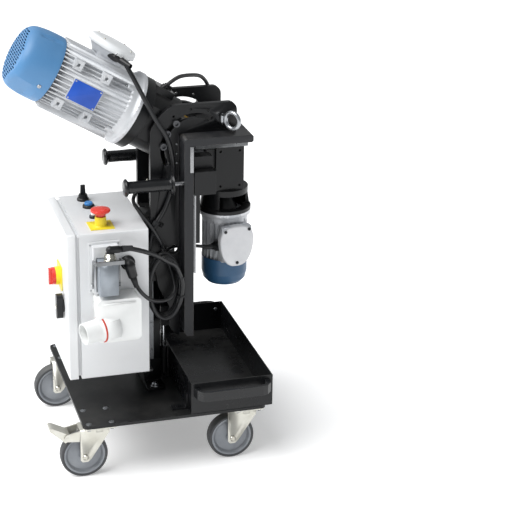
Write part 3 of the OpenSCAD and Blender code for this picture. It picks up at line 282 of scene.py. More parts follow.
def blend_colour(tree, mask, under, over):
    mix = step(tree, "Mix", data_type="RGBA")
    tree.links.new(mask, mix.inputs["Factor"])
    for socket, value in ((mix.inputs[6], under), (mix.inputs[7], over)):
        if isinstance(value, list):
            socket.default_value = value
        else:
            tree.links.new(value, socket)
    return mix.outputs[2]


def finish(name, colour, drift, rough=0.4, metal=0.0, scale=900.0, bump=0.1, mottle=6.0, spread=0.08,
           edge=0.8, rub=0.0, rubbed="b8b8b6", dusty=0.0, dust_tone="a9a69f", coat=0.0, marks=None, sheen=0.5):
    made = bpy.data.materials.new(name)
    made.use_nodes = True
    tree = made.node_tree
    shader = tree.nodes["Principled BSDF"]
    shader.inputs["Metallic"].default_value = metal
    shader.inputs["Specular IOR Level"].default_value = sheen
    shader.inputs["Coat Weight"].default_value = coat
    shader.inputs["Coat Roughness"].default_value = 0.12
    surface = step(tree, "Group", node_tree=grain)
    surface.inputs["Grain Scale"].default_value = scale
    surface.inputs["Mottle Scale"].default_value = mottle
    round_edge = step(tree, "Bevel", samples=4)
    round_edge.inputs["Radius"].default_value = edge * MM
    bumps = step(tree, "Bump")
    bumps.inputs["Strength"].default_value = bump
    bumps.inputs["Distance"].default_value = 0.0006
    tree.links.new(round_edge.outputs["Normal"], bumps.inputs["Normal"])
    tree.links.new(bumps.outputs["Normal"], shader.inputs["Normal"])
    tone = surface.outputs["Mottle"]
    if marks:
        brush = step(tree, "Group", node_tree=brushed)
        brush.inputs["Stretch"].default_value = marks[:3]
        brush.inputs["Scale"].default_value = marks[3]
        tone = brush.outputs["Mark"]
        tree.links.new(tone, bumps.inputs["Height"])
    else:
        tree.links.new(surface.outputs["Grain"], bumps.inputs["Height"])
    shade = blend_colour(tree, tone, linear(colour), linear(drift))
    gloss = squeeze(tree, tone, 0.0, 1.0, rough - spread, rough + spread)
    if rub:
        bare = step(tree, "Group", node_tree=wear)
        bare.inputs["Amount"].default_value = rub
        tree.links.new(round_edge.outputs["Normal"], bare.inputs["Rounded"])
        shade = blend_colour(tree, bare.outputs["Mask"], shade, linear(rubbed))
        if metal == 0:
            shine = squeeze(tree, bare.outputs["Mask"], 0.0, 1.0, 0.0, 0.7)
            tree.links.new(shine, shader.inputs["Metallic"])
    if dusty:
        layer = step(tree, "Group", node_tree=dust)
        layer.inputs["Amount"].default_value = dusty
        shade = blend_colour(tree, layer.outputs["Mask"], shade, linear(dust_tone))
        dull = step(tree, "Math", operation="ADD", use_clamp=True)
        tree.links.new(gloss, dull.inputs[0])
        tree.links.new(layer.outputs["Mask"], dull.inputs[1])
        gloss = dull.outputs[0]
    tree.links.new(shade, shader.inputs["Base Color"])
    tree.links.new(gloss, shader.inputs["Roughness"])
    return made


# %% [markdown]
# These are the machine's finishes, from its black frame paint to the yellow of the stop plate.

# %% The finishes
frame_black = finish("black frame paint", "0e0f11", "151618", 0.34, bump=0.12, scale=500.0, edge=1.4, rub=0.5,
                     rubbed="6c6d70", dusty=0.07, coat=0.04, sheen=0.3)
tray_black = finish("tray paint", "0d0e10", "151618", 0.3, bump=0.1, scale=600.0, mottle=9.0, rub=0.55,
                    rubbed="7b7a77", dusty=0.1, spread=0.08, sheen=0.35)
table_black = finish("table paint", "1a1b1e", "27282b", 0.4, bump=0.1, scale=500.0, mottle=11.0, edge=1.6,
                     rub=0.6, rubbed="8d8780", dusty=0.12, spread=0.12, sheen=0.35)
handle_black = finish("handle paint", "101113", "18191b", 0.28, bump=0.05, edge=1.2, rub=0.3, coat=0.1, sheen=0.4)
cabinet_grey = finish("cabinet powder coat", "e1e2e3", "dadcde", 0.42, bump=0.35, scale=1100.0, mottle=4.0,
                      edge=1.5, dusty=0.08, coat=0.1)
door_grey = finish("door powder coat", "e3e4e5", "dddfe0", 0.4, bump=0.35, scale=1100.0, mottle=4.0, edge=1.8,
                   dusty=0.06, coat=0.1)
cast_silver = finish("motor casting", "d0d2d5", "bfc2c6", 0.48, 0.3, scale=700.0, bump=0.4, mottle=14.0,
                     edge=1.2, rub=0.4, rubbed="e2e3e4", dusty=0.1)
flange_silver = finish("machined flange", "dcdde0", "cbcdd1", 0.36, 0.4, scale=900.0, bump=0.15, mottle=20.0,
                       edge=1.0, rub=0.4, rubbed="eeeeee")
cover_blue = finish("fan cover plastic", "568cbd", "4c81b1", 0.42, scale=1500.0, bump=0.2, mottle=5.0, edge=1.2,
                    dusty=0.12, dust_tone="c8d4de")
cover_dark = finish("small fan cover plastic", "2f5b80", "284f72", 0.4, scale=1500.0, bump=0.2, mottle=7.0,
                    dusty=0.1)
lid_white = finish("terminal lid plastic", "e9ebec", "dfe2e4", 0.4, scale=1600.0, bump=0.15, mottle=8.0,
                   edge=1.2, dusty=0.06)
box_grey = finish("terminal box casting", "c9ccd0", "b6b9be", 0.45, 0.25, scale=800.0, bump=0.3, mottle=16.0)
inlet_white = finish("inlet plastic", "eff0ef", "e7e9e8", 0.34, scale=1700.0, bump=0.1, mottle=9.0, edge=1.4,
                     dusty=0.05, coat=0.1)
ring_red = finish("inlet ring", "c8432f", "bb3a28", 0.4, scale=1300.0, bump=0.1, mottle=12.0)
signal_yellow = finish("signal yellow", "f2df33", "ead32a", 0.36, scale=1500.0, bump=0.1, mottle=14.0, edge=0.8)
signal_red = finish("signal red", "e23a2b", "d43124", 0.28, scale=1500.0, bump=0.06, mottle=16.0, coat=0.4)
start_blue = finish("start button blue", "2f86cf", "2a7ac0", 0.28, scale=1500.0, bump=0.05, mottle=20.0, coat=0.3)
lamp_white = finish("lamp lens", "f6f6f2", "eceef0", 0.16, scale=1500.0, bump=0.04, mottle=20.0, coat=0.5)
knob_black = finish("black plastic", "111214", "18191b", 0.36, scale=1600.0, bump=0.2, mottle=14.0, dusty=0.08,
                    sheen=0.4)
cord_black = finish("cord sheath", "111214", "191a1d", 0.34, scale=1400.0, bump=0.12, mottle=24.0, spread=0.1,
                    dusty=0.1, sheen=0.45)
hose_black = finish("hose rubber", "1a1b1d", "242527", 0.5, scale=1100.0, bump=0.2, mottle=30.0, dusty=0.25)
zinc_plate = finish("zinc plating", "dbdad2", "cbc9be", 0.32, 0.65, scale=1100.0, bump=0.08, mottle=22.0,
                    rub=0.3, rubbed="e8e6de", dusty=0.15)
bolt_zinc = finish("bolt zinc", "b9bcbf", "9fa2a6", 0.28, 0.95, scale=1300.0, bump=0.06, mottle=40.0)
black_bolt = finish("black oxide bolt", "202123", "2c2d2f", 0.34, 0.6, scale=1300.0, bump=0.08, mottle=40.0)
nickel = finish("nickel plate", "c4c2b8", "b1afa5", 0.2, 1.0, scale=1200.0, bump=0.04, mottle=30.0)
ground_steel = finish("ground steel", "a7a8aa", "8f9092", 0.3, 0.95, bump=0.12, marks=(1.0, 0.12, 1.0, 260.0))
rail_steel = finish("guide rail steel", "85878a", "6c6e71", 0.3, 0.9, bump=0.1, marks=(1.0, 1.0, 0.06, 300.0))
rod_chrome = finish("chromed rod", "dfe1e3", "cfd2d5", 0.1, 1.0, bump=0.04, marks=(1.0, 1.0, 0.1, 200.0))
tool_steel = finish("tool steel", "8d8f91", "6f7173", 0.32, 0.9, bump=0.12, mottle=30.0, rub=0.5)
oiled_steel = finish("oiled steel", "58595c", "444548", 0.36, 0.75, scale=1300.0, bump=0.08, mottle=40.0)
insert_gold = finish("coated insert", "c6a24a", "ab8736", 0.28, 0.8, bump=0.06, mottle=60.0)
tyre_rubber = finish("castor tyre", "3b3c3f", "46484a", 0.6, scale=800.0, bump=0.3, mottle=18.0, dusty=0.3)
rim_grey = finish("castor rim", "8d9196", "7f8389", 0.36, 0.25, scale=900.0, bump=0.15, mottle=16.0, edge=1.2,
                  dusty=0.15)
plate_blue = finish("name plate enamel", "0f55c4", "0b49b0", 0.38, scale=1300.0, bump=0.04, mottle=20.0, coat=0.1)
plate_silver = finish("label foil", "c9ccd0", "bcbfc4", 0.3, 0.7, bump=0.06, marks=(0.1, 1.0, 1.0, 300.0))
gasket_black = finish("gasket rubber", "1c1d1f", "232426", 0.7, scale=900.0, bump=0.2, mottle=30.0)
drive_grey = finish("drive housing", "4b4f54", "43474c", 0.5, scale=1400.0, bump=0.2, mottle=12.0)
print("finishes:", len(bpy.data.materials))

# %% [markdown]
# The cords come first. Each follows the route of its solid: a smooth curve through given points, straight out of its
# gland, sagging between what holds it. A curve with a round section is swept and frozen to a mesh.

# %% Cord helpers
def through(points, steps=8):
    line = []
    count = len(points)
    for i in range(count - 1):
        a, b = points[max(i - 1, 0)], points[i]
        c, d = points[i + 1], points[min(i + 2, count - 1)]
        for j in range(steps):
            t = j / steps
            bend = 2 * b + (c - a) * t + (2 * a - 5 * b + 4 * c - d) * t ** 2 + (3 * b - a - 3 * c + d) * t ** 3
            line.append(0.5 * bend)
    return line + [points[-1]]


def swept(name, line, radius, material):
    sweep = bpy.data.curves.new(name, "CURVE")
    sweep.dimensions = "3D"
    sweep.bevel_depth = radius
    sweep.bevel_resolution = 5
    sweep.use_fill_caps = True
    path = sweep.splines.new("POLY")
    path.points.add(len(line) - 1)
    for point, where in zip(path.points, line):
        point.co = (*where, 1)
    holder = in_scene(name + "_sweep", sweep)
    mesh = frozen(holder)
    bpy.data.objects.remove(holder)
    mesh.name = name
    mesh.shade_smooth()
    mesh.materials.clear()
    mesh.materials.append(material)
    return in_scene(name, mesh)


def length_of(line):
    return sum((b - a).length for a, b in zip(line, line[1:]))


def lay_cord(name, line, radius, material, node, bodies, bend=None):
    piece = swept(name, line, radius, material)
    if bend:
        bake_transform(piece)
    else:
        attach(piece, bodies)
    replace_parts(piece, node)
    print(name, "is", round(length_of(line), 3), "m long")


MOTOR_CORD = 0.006
LEAD_CORD = 0.005
FEED_CORD = 0.0045
HOSE = 0.0052


# %% [markdown]
# The main motor's cord leaves the round terminal box, passes the front quadrant and a clip, hangs down to the
# coil in front of the column and ends in the connector on the cabinet. Its spare length is wound in oval
# turns, one pitch apart, which a formula lays out.

# %% The main motor's cord
def direction(x, y, z, place=PLACE):
    return place.to_3x3() @ Vector((x, y, z))


gland_turn = math.radians(52)
gland_out = direction(math.cos(gland_turn), -math.sin(gland_turn), 0, HEAD)
gland_end = at(-324, -16, 112, HEAD) + 72 * gland_out
clip_at = at(-12, -94, 641)
clip_dir = direction(0.5, 0, math.cos(math.radians(30)))
head_line = [gland_end] + through(
    [gland_end + 13 * gland_out, at(-67, -100, 1031), at(-22, -109, 939), at(14, -110, 876), at(30, -103, 818),
     at(34, -92.4, 768), at(29, -92.4, 728), at(11, -94, 680), clip_at + 13 * clip_dir]
) + [clip_at]
lay_cord("motor_cord", head_line, MOTOR_CORD, cord_black, "head_cord", ("head", "carriage"),
         (gland_end + 13 * gland_out, clip_at + 30 * clip_dir))


COIL_WIDE, COIL_TALL, COIL_PITCH = 42.5, 86, 12.8
COIL_FROM, COIL_TO, COIL_STEP = 60, 990, 6


def coil_point(turn):
    angle, half = math.radians(turn), math.radians(turn / 2)
    return at(-0.5 + (COIL_WIDE + 1.5 * math.cos(half)) * math.sin(angle),
              -151 + COIL_PITCH * (turn - COIL_FROM) / 360,
              480 + (COIL_TALL + 2.5 * math.cos(half)) * math.cos(angle))


elbow_end = at(-130, -227.2, 633)
coil_turns = [coil_point(turn) for turn in range(COIL_FROM, COIL_TO + 1, COIL_STEP)]
coil_end = coil_turns[-1] + direction(0, 0, 13)
coil_line = [elbow_end] + through(
    [elbow_end + direction(13, 0, 0), at(-88, -224, 624), at(-45, -204, 600), at(-7, -181, 569), at(23, -162, 543),
     coil_turns[3], coil_turns[6], coil_turns[8]]
) + coil_turns[9:] + [coil_end]
lay_cord("coiled_cord", coil_line, MOTOR_CORD, cord_black, "cord_coil", "base")
slack_line = [clip_at] + through(
    [clip_at - 13 * clip_dir, at(-30, -100, 590), at(-39, -111, 545), coil_end + direction(0, 0, 13)]
) + [coil_end]
lay_cord("hanging_cord", slack_line, MOTOR_CORD, cord_black, "slack_cord", ("carriage", "base"),
         (clip_at - 13 * clip_dir, coil_end))

# %% [markdown]
# The thinner lead rises from the round plug through the coil to the rear quadrant. The feed motor's cord runs
# through the leg's window to the cabinet, and a rubber hose links the gear housing with the table.

# %% The thinner cords and the hose
plug_dir = direction(math.sin(math.radians(164)), 0, math.cos(math.radians(164)))
plug_end = at(-108, -205, 577) + 40 * plug_dir
lead_end = at(6, 56, 700)
lead_line = [plug_end] + through(
    [plug_end + 11 * plug_dir, at(-78, -205, 500), at(-52, -196, 473), at(-24, -180, 459), at(6, -160, 456),
     at(25, -141, 472), at(24, -119, 505), at(14, -107, 540), at(3, -107, 568), at(-10, -117, 604),
     at(-32, -126, 644), at(-62, -128, 688), at(-77, -117, 717), at(-62, -94, 733), at(-38, -70, 727),
     at(-16, -47, 714), at(0, -12, 704), lead_end - direction(0, 11, 0)]
) + [lead_end]
lay_cord("switch_lead_cord", lead_line, LEAD_CORD, cord_black, "switch_lead", ("base", "carriage"),
         (at(-10, -117, 604), at(0, -12, 704)))
nipple_turn = math.radians(23)
hose_out = direction(math.sin(nipple_turn), 0, math.cos(nipple_turn), HEAD)
hose_start = at(-125, -8, 90, HEAD) + 14 * hose_out
hose_foot = at(180, 100, 891)
hose_line = [hose_start] + through(
    [hose_start + 11 * hose_out, at(76, 8, 1001), at(112, 35, 996), at(148, 68, 982), at(172, 93, 955),
     at(180, 100, 926), hose_foot + direction(0, 0, 11)]
) + [hose_foot]
lay_cord("coolant_hose", hose_line, HOSE, hose_black, "hose", ("head", "carriage"),
         (hose_start + 11 * hose_out, hose_foot + direction(0, 0, 20)))
feed_turn = math.radians(8)
feed_out = direction(-math.cos(feed_turn), -math.sin(feed_turn), 0)
feed_gland = at(198 + 50 * math.sin(feed_turn), -50 * math.cos(feed_turn), 548) + 58 * feed_out
leg_clip = at(64, -62.4, 560)
feed_line = [feed_gland] + through(
    [feed_gland + 10 * feed_out, at(105, -62, 555), leg_clip + direction(10, 0, 0)]
) + [leg_clip]
lay_cord("feed_motor_cord", feed_line, FEED_CORD, cord_black, "feed_cord", ("jaw", "carriage"),
         (feed_line[1], feed_line[-2]))
side_gland_end = at(-41, -100, 490)
feed_slack_line = [leg_clip] + through(
    [leg_clip - direction(10, 0, 0), at(40, -67, 561), at(26, -78, 561), at(10, -91, 558), at(-12, -99, 544),
     at(-30, -101, 522), side_gland_end + direction(0, 0, 10)]
) + [side_gland_end]
lay_cord("feed_cord_slack", feed_slack_line, FEED_CORD, cord_black, "feed_slack", ("carriage", "base"),
         (leg_clip, side_gland_end + direction(0, 0, 10)))

# %% [markdown]
# Many solids have the right shape already. A solid of one finish just takes it. A solid that is several
# finishes in one, such as a hood with a metal gland on it, is copied, merged and painted face by face, and
# the copy stands for the solid.

# %% Dressing the solids
def wear_finish(material, *names):
    for name in names:
        solid = nodes[name]
        if not solid.material_slots:
            solid.data.materials.append(material)
        for slot in solid.material_slots:
            slot.material = material


def keep(name, bm, body, finishes, place=None, smooth=32):
    if place is not None:
        bmesh.ops.transform(bm, matrix=place, verts=bm.verts)
    mesh = bpy.data.meshes.new(name)
    bm.to_mesh(mesh)
    bm.free()
    mesh.shade_smooth()
    mesh.set_sharp_from_angle(angle=math.radians(smooth))
    for material in finishes if isinstance(finishes, (list, tuple)) else [finishes]:
        mesh.materials.append(material)
    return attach(in_scene(name, mesh), body)


def painted_copy(name, node, rules, place=PLACE):
    bm = bmesh.new()
    bm.from_mesh(nodes[node].data)
    bmesh.ops.remove_doubles(bm, verts=bm.verts, dist=0.00001)
    bmesh.ops.transform(bm, matrix=place.inverted(), verts=bm.verts)
    for face in bm.faces:
        middle = face.calc_center_median()
        face.material_index = next(i for i, (_, rule) in enumerate(rules) if rule(middle))
    piece = keep(name, bm, nodes[node]["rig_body"], [material for material, _ in rules], place)
    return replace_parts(piece, node)


def rest(_):
    return True


for paint, solids in (
    (frame_black, ("quadrant_rear", "gear_housing", "feed_gearbox", "base_plate", "jaw_slide", "carriage_blocks")),
    (rail_steel, ("guide_rails",)), (rod_chrome, ("lift_rod",)), (oiled_steel, ("lock_bolts",)),
    (black_bolt, ("tray_guides",)), (cover_dark, ("feed_fan_cover",)), (tool_steel, ("feed_roller", "hood_lever")),
    (knob_black, ("button_bezels", "motor_fan", "selector_knob", "door_latch")), (zinc_plate, ("brake_pedal",)),
    (cabinet_grey, ("connector_housing", "cabinet_shell")), (bolt_zinc, ("lifting_ring",)),
    (signal_yellow, ("switch_plate",)), (signal_red, ("main_switch",)), (lamp_white, ("lamp_button",)),
    (start_blue, ("start_button",)), (tray_black, ("tray_box",)), (handle_black, ("tray_handles",)),
):
    wear_finish(paint, *solids)
    print(paint.name, "on", ", ".join(solids))

# %% [markdown]
# Each list below pairs a finish with a rule on a face's middle. The first rule that holds paints the face, so
# the last one takes what is left.

# %% Solids in several finishes
painted_copy("column_and_strut", "column", [
    (bolt_zinc, lambda c: abs(abs(c.y) - 82) < 11.5 and abs(c.x + 16) < 11.5 and c.z > 170.2),
    (handle_black, lambda c: abs(c.x - 28) < 10.6 and abs(c.y) < 10.6 and c.z > 170.1),
    (frame_black, rest)])
WHEEL_R, CASTOR_TRAIL = 62.5, 38
CASTORS = [(name, x - CASTOR_TRAIL, y) for name, x, y in (
    ("fl", -199, -206), ("fr", 199, -206), ("rl", -199, 206), ("rr", 199, 206))]
for corner, x, y in CASTORS:
    painted_copy("fork_with_axle_" + corner, "castor_fork_" + corner, [
        (nickel, lambda c, x=x, y=y: math.hypot(c.x - x, c.z - WHEEL_R) < 8.7 and abs(c.y - y) > 24.9),
        (zinc_plate, rest)])
painted_copy("front_quadrant", "quadrant_front", [
    (black_bolt, lambda c: c.y < -86 and c.x > 140), (frame_black, rest)])
painted_copy("castor_tops", "castor_mounts", [
    (bolt_zinc, lambda c: c.z < 151.9 and abs(abs(abs(c.x) - 199) - 30) < 8 and abs(abs(abs(c.y) - 206) - 40) < 8),
    (bolt_zinc, lambda c: c.z > 156.1), (zinc_plate, rest)])
painted_copy("grips_on_rods", "push_handles", [
    (ground_steel, lambda c: math.hypot(abs(c.y) - 130, c.z - 758) < 6.2), (handle_black, rest)])
painted_copy("cord_clamps", "cord_clips", [
    (nickel, lambda c: c.x > 150 or c.y > 40), (gasket_black, rest)])
painted_copy("table_and_leg", "table_frame", [
    (ground_steel, lambda c: 78.9 < c.x and abs(c.y) > 80 and c.z < 724 and c.z > 499),
    (tool_steel, lambda c: c.x > 78 and abs(c.y) > 87 and 780 < c.z < 856.9),
    (table_black, rest)])
painted_copy("milling_cutter", "cutter_head", [
    (insert_gold, lambda c: c.x > -33.5 and math.hypot(c.y, c.z) > 37),
    (tool_steel, rest)], HEAD)
painted_copy("switchgear", "control_gear", [
    (plate_silver, lambda c: c.x > -72.2),
    (drive_grey, lambda c: c.y < -55 and c.z > 380),
    (inlet_white, lambda c: c.z < 362),
    (knob_black, rest)])

# %% [markdown]
# The helpers below are the workshop: a block with rounded corners, a turned part spun from its outline, a
# plate raised from its outline, a socket bolt and a pan screw. All of them work with mesh operators in millimetres.

# %% Workshop helpers
def made_since(bm, before):
    return [v for v in bm.verts if v not in before]


def block(bm, low, high, corner=0.0, axis=2, rim=0.0, segments=4, place=None):
    before = set(bm.verts)
    size = Vector(high) - Vector(low)
    middle = (Vector(high) + Vector(low)) / 2
    bmesh.ops.create_cube(bm, size=1, matrix=Matrix.Translation(middle) @ Matrix.Diagonal((*size, 1)))
    if corner:
        new = set(made_since(bm, before))
        upright = [e for e in bm.edges if e.verts[0] in new
                   and abs((e.verts[0].co - e.verts[1].co).normalized()[axis]) > 0.99]
        bmesh.ops.bevel(bm, geom=upright, offset=corner, segments=segments, profile=0.5, affect="EDGES",
                        material=-1)
    if rim:
        new = set(made_since(bm, before))
        sharp = [e for e in bm.edges if e.verts[0] in new and e.calc_face_angle(0) > math.radians(50)]
        bmesh.ops.bevel(bm, geom=sharp, offset=rim, segments=2, profile=0.5, affect="EDGES", material=-1)
    new = made_since(bm, before)
    if place is not None:
        bmesh.ops.transform(bm, matrix=place, verts=new)


def turned(bm, outline, place=None, steps=64, closed=False):
    before = set(bm.verts)
    chain = [bm.verts.new((r, 0, z)) for r, z in outline]
    pairs = list(zip(chain, chain[1:])) + ([(chain[-1], chain[0])] if closed else [])
    edges = [bm.edges.new(pair) for pair in pairs]
    bmesh.ops.spin(bm, geom=chain + edges, cent=(0, 0, 0), axis=(0, 0, 1), angle=2 * math.pi, steps=steps,
                   use_merge=True, use_duplicate=False)
    bmesh.ops.remove_doubles(bm, verts=made_since(bm, before), dist=0.001)
    new = made_since(bm, before)
    bmesh.ops.recalc_face_normals(bm, faces=list({f for v in new for f in v.link_faces}))
    if place is not None:
        bmesh.ops.transform(bm, matrix=place, verts=new)
    return new


def raised(bm, outline, height, place):
    before = set(bm.verts)
    face = bm.faces.new([bm.verts.new((x, y, 0)) for x, y in outline])
    top = bmesh.ops.extrude_face_region(bm, geom=[face])["geom"]
    bmesh.ops.translate(bm, vec=(0, 0, height), verts=[g for g in top if isinstance(g, bmesh.types.BMVert)])
    new = made_since(bm, before)
    bmesh.ops.recalc_face_normals(bm, faces=list({f for v in new for f in v.link_faces}))
    bmesh.ops.transform(bm, matrix=place, verts=new)


def socket_bolt(bm, r, height, place):
    turned(bm, [(0, 0), (r, 0), (r, height * 0.86), (r * 0.9, height), (r * 0.52, height), (r * 0.46, height * 0.95),
                (r * 0.46, height * 0.45), (0, height * 0.38)], place, 24)


def pan_screw(bm, r, height, place):
    turned(bm, [(0, 0), (r, 0), (r, height * 0.4), (r * 0.8, height * 0.85), (r * 0.4, height), (r * 0.28, height),
                (r * 0.2, height * 0.5), (0, height * 0.45)], place, 20)


def facing(x, y, z, way):
    turns = {"-x": turn_about("Y", -90), "-y": turn_about("X", 90)}
    return spot(x, y, z) @ turns[way]


CORNERS = (45, 135, 225, 315)


# %% [markdown]
# The big fan cover is one moulded cap. Its side sweeps in towards a round grille of short slots laid like
# bricks. Two flats run along its lower side, and two shallow grooves along its top. A turned shell gives the
# sweep, moved vertices the flats and grooves, and a cutter of many small bars the slots.

# %% The main motor's fan cover
def cut(piece, cutter):
    tool = piece.modifiers.new("cut", "BOOLEAN")
    tool.object = cutter
    tool.solver = "EXACT"
    mesh = frozen(piece)
    piece.modifiers.clear()
    piece.data = mesh
    bpy.data.objects.remove(cutter)
    mesh.shade_smooth()
    mesh.set_sharp_from_angle(angle=math.radians(COVER_SMOOTH))


COVER_SMOOTH = 19
FLAT_TURNS, FLAT_DEPTH = (-38, 38), 0.91
GROOVE_TURNS, GROOVE_HALF, GROOVE_DEPTH = (153, 207), 6, 0.045
GRILLE_R, SLOT_PITCH, SLOT_STEP = 72, 6.6, 25
cover_place = HEAD @ spot(-511, 0, 0) @ ALONG_X
bm = bmesh.new()
cap = [(0, 0.6), (52, 0.6), (66, 2.2), (72.5, 6), (79, 13), (83.4, 22), (86, 34), (87.8, 48), (88.9, 66), (88.9, 96),
       (87, 97.6), (86.4, 90), (86.4, 50), (84, 35), (80, 22), (74, 13), (65, 6), (50, 4), (0, 4)]
cap = [(v.x, v.z) for v in through([Vector((r, 0, z)) for r, z in cap], 3)]
turned(bm, cap, steps=120)
for v in bm.verts:
    radius = math.hypot(v.co.x, v.co.y)
    fade = min(1, max(0, (74 - v.co.z) / 14)) * min(1, v.co.z / 20)
    for turn in FLAT_TURNS:
        way = Vector((math.cos(math.radians(turn)), math.sin(math.radians(turn)), 0))
        over = v.co.dot(way) - radius * FLAT_DEPTH
        if over > 0:
            v.co -= way * over * fade
    for turn in GROOVE_TURNS:
        off = (math.degrees(math.atan2(v.co.y, v.co.x)) % 360 - turn) / GROOVE_HALF
        if abs(off) < 1 and radius > 60 and v.co.z > 26:
            ends = min(1, max(0, (84 - v.co.z) / 8)) * min(1, (v.co.z - 26) / 14)
            deep = 1 - GROOVE_DEPTH * (1 - off ** 2) * ends
            v.co.x, v.co.y = v.co.x * deep, v.co.y * deep
fan_cover = keep("fan_cover", bm, "head", cover_blue, cover_place, COVER_SMOOTH)
bm = bmesh.new()
for row in range(-10, 11):
    height = row * SLOT_PITCH
    reach = math.sqrt(GRILLE_R ** 2 - height ** 2)
    count = max(1, int(2 * reach / SLOT_STEP))
    for k in range(count):
        middle = (k - (count - 1) / 2) * SLOT_STEP + (row % 2) * 6
        if abs(middle) + 5 < reach:
            block(bm, (height - 1.9, middle - 10.5, -3), (height + 1.9, middle + 10.5, 22), corner=1.4, segments=2)
slots = keep("grille_slots", bm, "head", cover_blue, cover_place)
slots.parent = None
slots.matrix_world = Matrix()
cut(fan_cover, slots)
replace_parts(fan_cover, "main_fan_cover")
print("fan cover faces:", len(fan_cover.data.polygons))

# %% [markdown]
# One screw on each side holds the cover to the end shield.

# %% Screws round the cover's rim
bm = bmesh.new()
for turn in (114, 246):
    pan_screw(bm, 5.6, 3.2, HEAD @ turn_about("X", turn) @ spot(-436, 0, 88.2))
keep("cover_screws", bm, "head", bolt_zinc)
print("cover screws: 2")

# %% [markdown]
# The motor's casting is one solid with a ribbed body. Its finish changes at the machined flange. Bolt bosses
# with socket bolts sit round the end shield, and a blank enamelled plate with a raised border is riveted to a
# pad on its front side.

# %% The main motor
painted_copy("motor_body", "main_motor", [
    (flange_silver, lambda c: c.x > -193.5), (cast_silver, rest)], HEAD)
bm = bmesh.new()
for turn in CORNERS:
    turned(bm, [(0, 0), (6.5, 0), (9, 2.2), (9.6, 26), (0, 26)],
           HEAD @ turn_about("X", turn) @ spot(-229, 0, 82) @ ALONG_X, 24)
keep("shield_bosses", bm, "head", cast_silver)
bm = bmesh.new()
for turn in CORNERS:
    socket_bolt(bm, 4.6, 5, HEAD @ turn_about("X", turn) @ facing(-228.8, 0, 82, "-x"))
keep("shield_bolts", bm, "head", bolt_zinc)
bm = bmesh.new()
block(bm, (-368, -89.4, -33), (-285, -78, 25), corner=3, axis=1, rim=0.8, place=HEAD)
keep("name_plate_pad", bm, "head", cast_silver)
bm = bmesh.new()
block(bm, (-366, -90.8, -31), (-287, -89.3, 23), corner=2.4, axis=1, rim=0.3, place=HEAD)
keep("name_plate", bm, "head", plate_blue)
bm = bmesh.new()
for x in (-362, -291):
    for z in (-27, 19):
        turned(bm, [(0, 0), (2.4, 0), (2.1, 1.0), (0, 1.5)], HEAD @ facing(x, -90.7, z, "-y"), 16)
keep("plate_rivets", bm, "head", bolt_zinc)
print("main motor dressed")

# %% [markdown]
# The round terminal box has a pale domed lid with four screws, a cast body below it and a black gland that
# points to the front. Its copy is painted in a frame that stands in the gland's own direction.

# %% The terminal box
gland_frame = HEAD @ spot(-324, -16, 112) @ turn_about("Z", -52)
painted_copy("terminal_case", "terminal_box", [
    (knob_black, lambda c: c.x > 34 and math.hypot(c.y, c.z) < 11.6 and c.z < 6.2),
    (lid_white, lambda c: c.z > 5.9), (box_grey, rest)], gland_frame)
bm = bmesh.new()
for turn in CORNERS:
    pan_screw(bm, 3.4, 2.4, HEAD @ spot(-296, 0, 0) @ turn_about("Z", turn)
              @ spot(54, 0, 137.6))
keep("lid_screws", bm, "head", nickel)
bm = bmesh.new()
bmesh.ops.create_cone(bm, cap_ends=True, segments=6, radius1=13, radius2=13, depth=13,
                      matrix=gland_frame @ spot(50, 0, 0) @ ALONG_X)
turned(bm, [(6.05, 0), (8.9, 0), (8.4, 8), (7.2, 26), (6.5, 34), (6.05, 34)], gland_frame @ spot(71, 0, 0) @ ALONG_X,
       32, closed=True)
keep("motor_gland_nut", bm, "head", knob_black, smooth=40)
print("terminal box dressed")

# %% [markdown]
# The feed motor hangs upright under the jaw: a pale egg-shaped cover with three dark screws, a big black gland
# and a light flange ring.

# %% The feed motor
egg_silver = finish("painted cover casting", "d9dadc", "cccdd0", 0.42, 0.15, scale=900.0, bump=0.25, mottle=14.0,
                    edge=1.2)
feed_frame = PLACE @ spot(198, 0, 0) @ turn_about("Z", 8)
painted_copy("feed_motor_body", "feed_motor", [
    (box_grey, lambda c: c.y < -67.9),
    (knob_black, lambda c: c.x < -35.2 and math.hypot(c.y + 50, c.z - 548) < 12.5),
    (flange_silver, lambda c: c.z > 624.9), (cast_silver, rest)], feed_frame)
bm = bmesh.new()
for x, z in ((-34, 597), (34, 597), (0, 506)):
    socket_bolt(bm, 4.4, 2, feed_frame @ facing(x, -86.2, z, "-y"))
keep("cover_bolts", bm, "jaw", black_bolt)
bm = bmesh.new()
egg = []
for k in range(72):
    c, h = math.cos(math.radians(5 * k)), math.sin(math.radians(5 * k))
    egg.append((math.copysign(abs(c) ** 0.72, c) * (48.2 if h > -0.02 else 48.2 - 6 * abs(h)),
                566 + (43 if h > 0 else 70.5) * math.copysign(abs(h) ** 0.82, h)))
raised(bm, egg, 18.4, place=feed_frame @ spot(0, -68, 0) @ turn_about("X", 90))
front = [e for e in bm.edges if len(e.link_faces) == 2 and e.calc_face_angle(0) > math.radians(50)
         and sum((feed_frame.inverted() @ v.co).y for v in e.verts) < -160]
bmesh.ops.bevel(bm, geom=front, offset=0.005, segments=4, profile=0.6, affect="EDGES", clamp_overlap=True, material=-1)
keep("egg_cover", bm, "jaw", egg_silver, smooth=50)
bm = bmesh.new()
bmesh.ops.create_cone(bm, cap_ends=True, segments=6, radius1=14.6, radius2=14.6, depth=11,
                      matrix=feed_frame @ spot(-44, -50, 548) @ ALONG_X)
turned(bm, [(4.55, 0), (7.2, 0), (6.6, 8), (5.6, 20), (4.95, 26), (4.55, 26)],
       feed_frame @ spot(-57, -50, 548) @ turn_about("Y", -90), 28, closed=True)
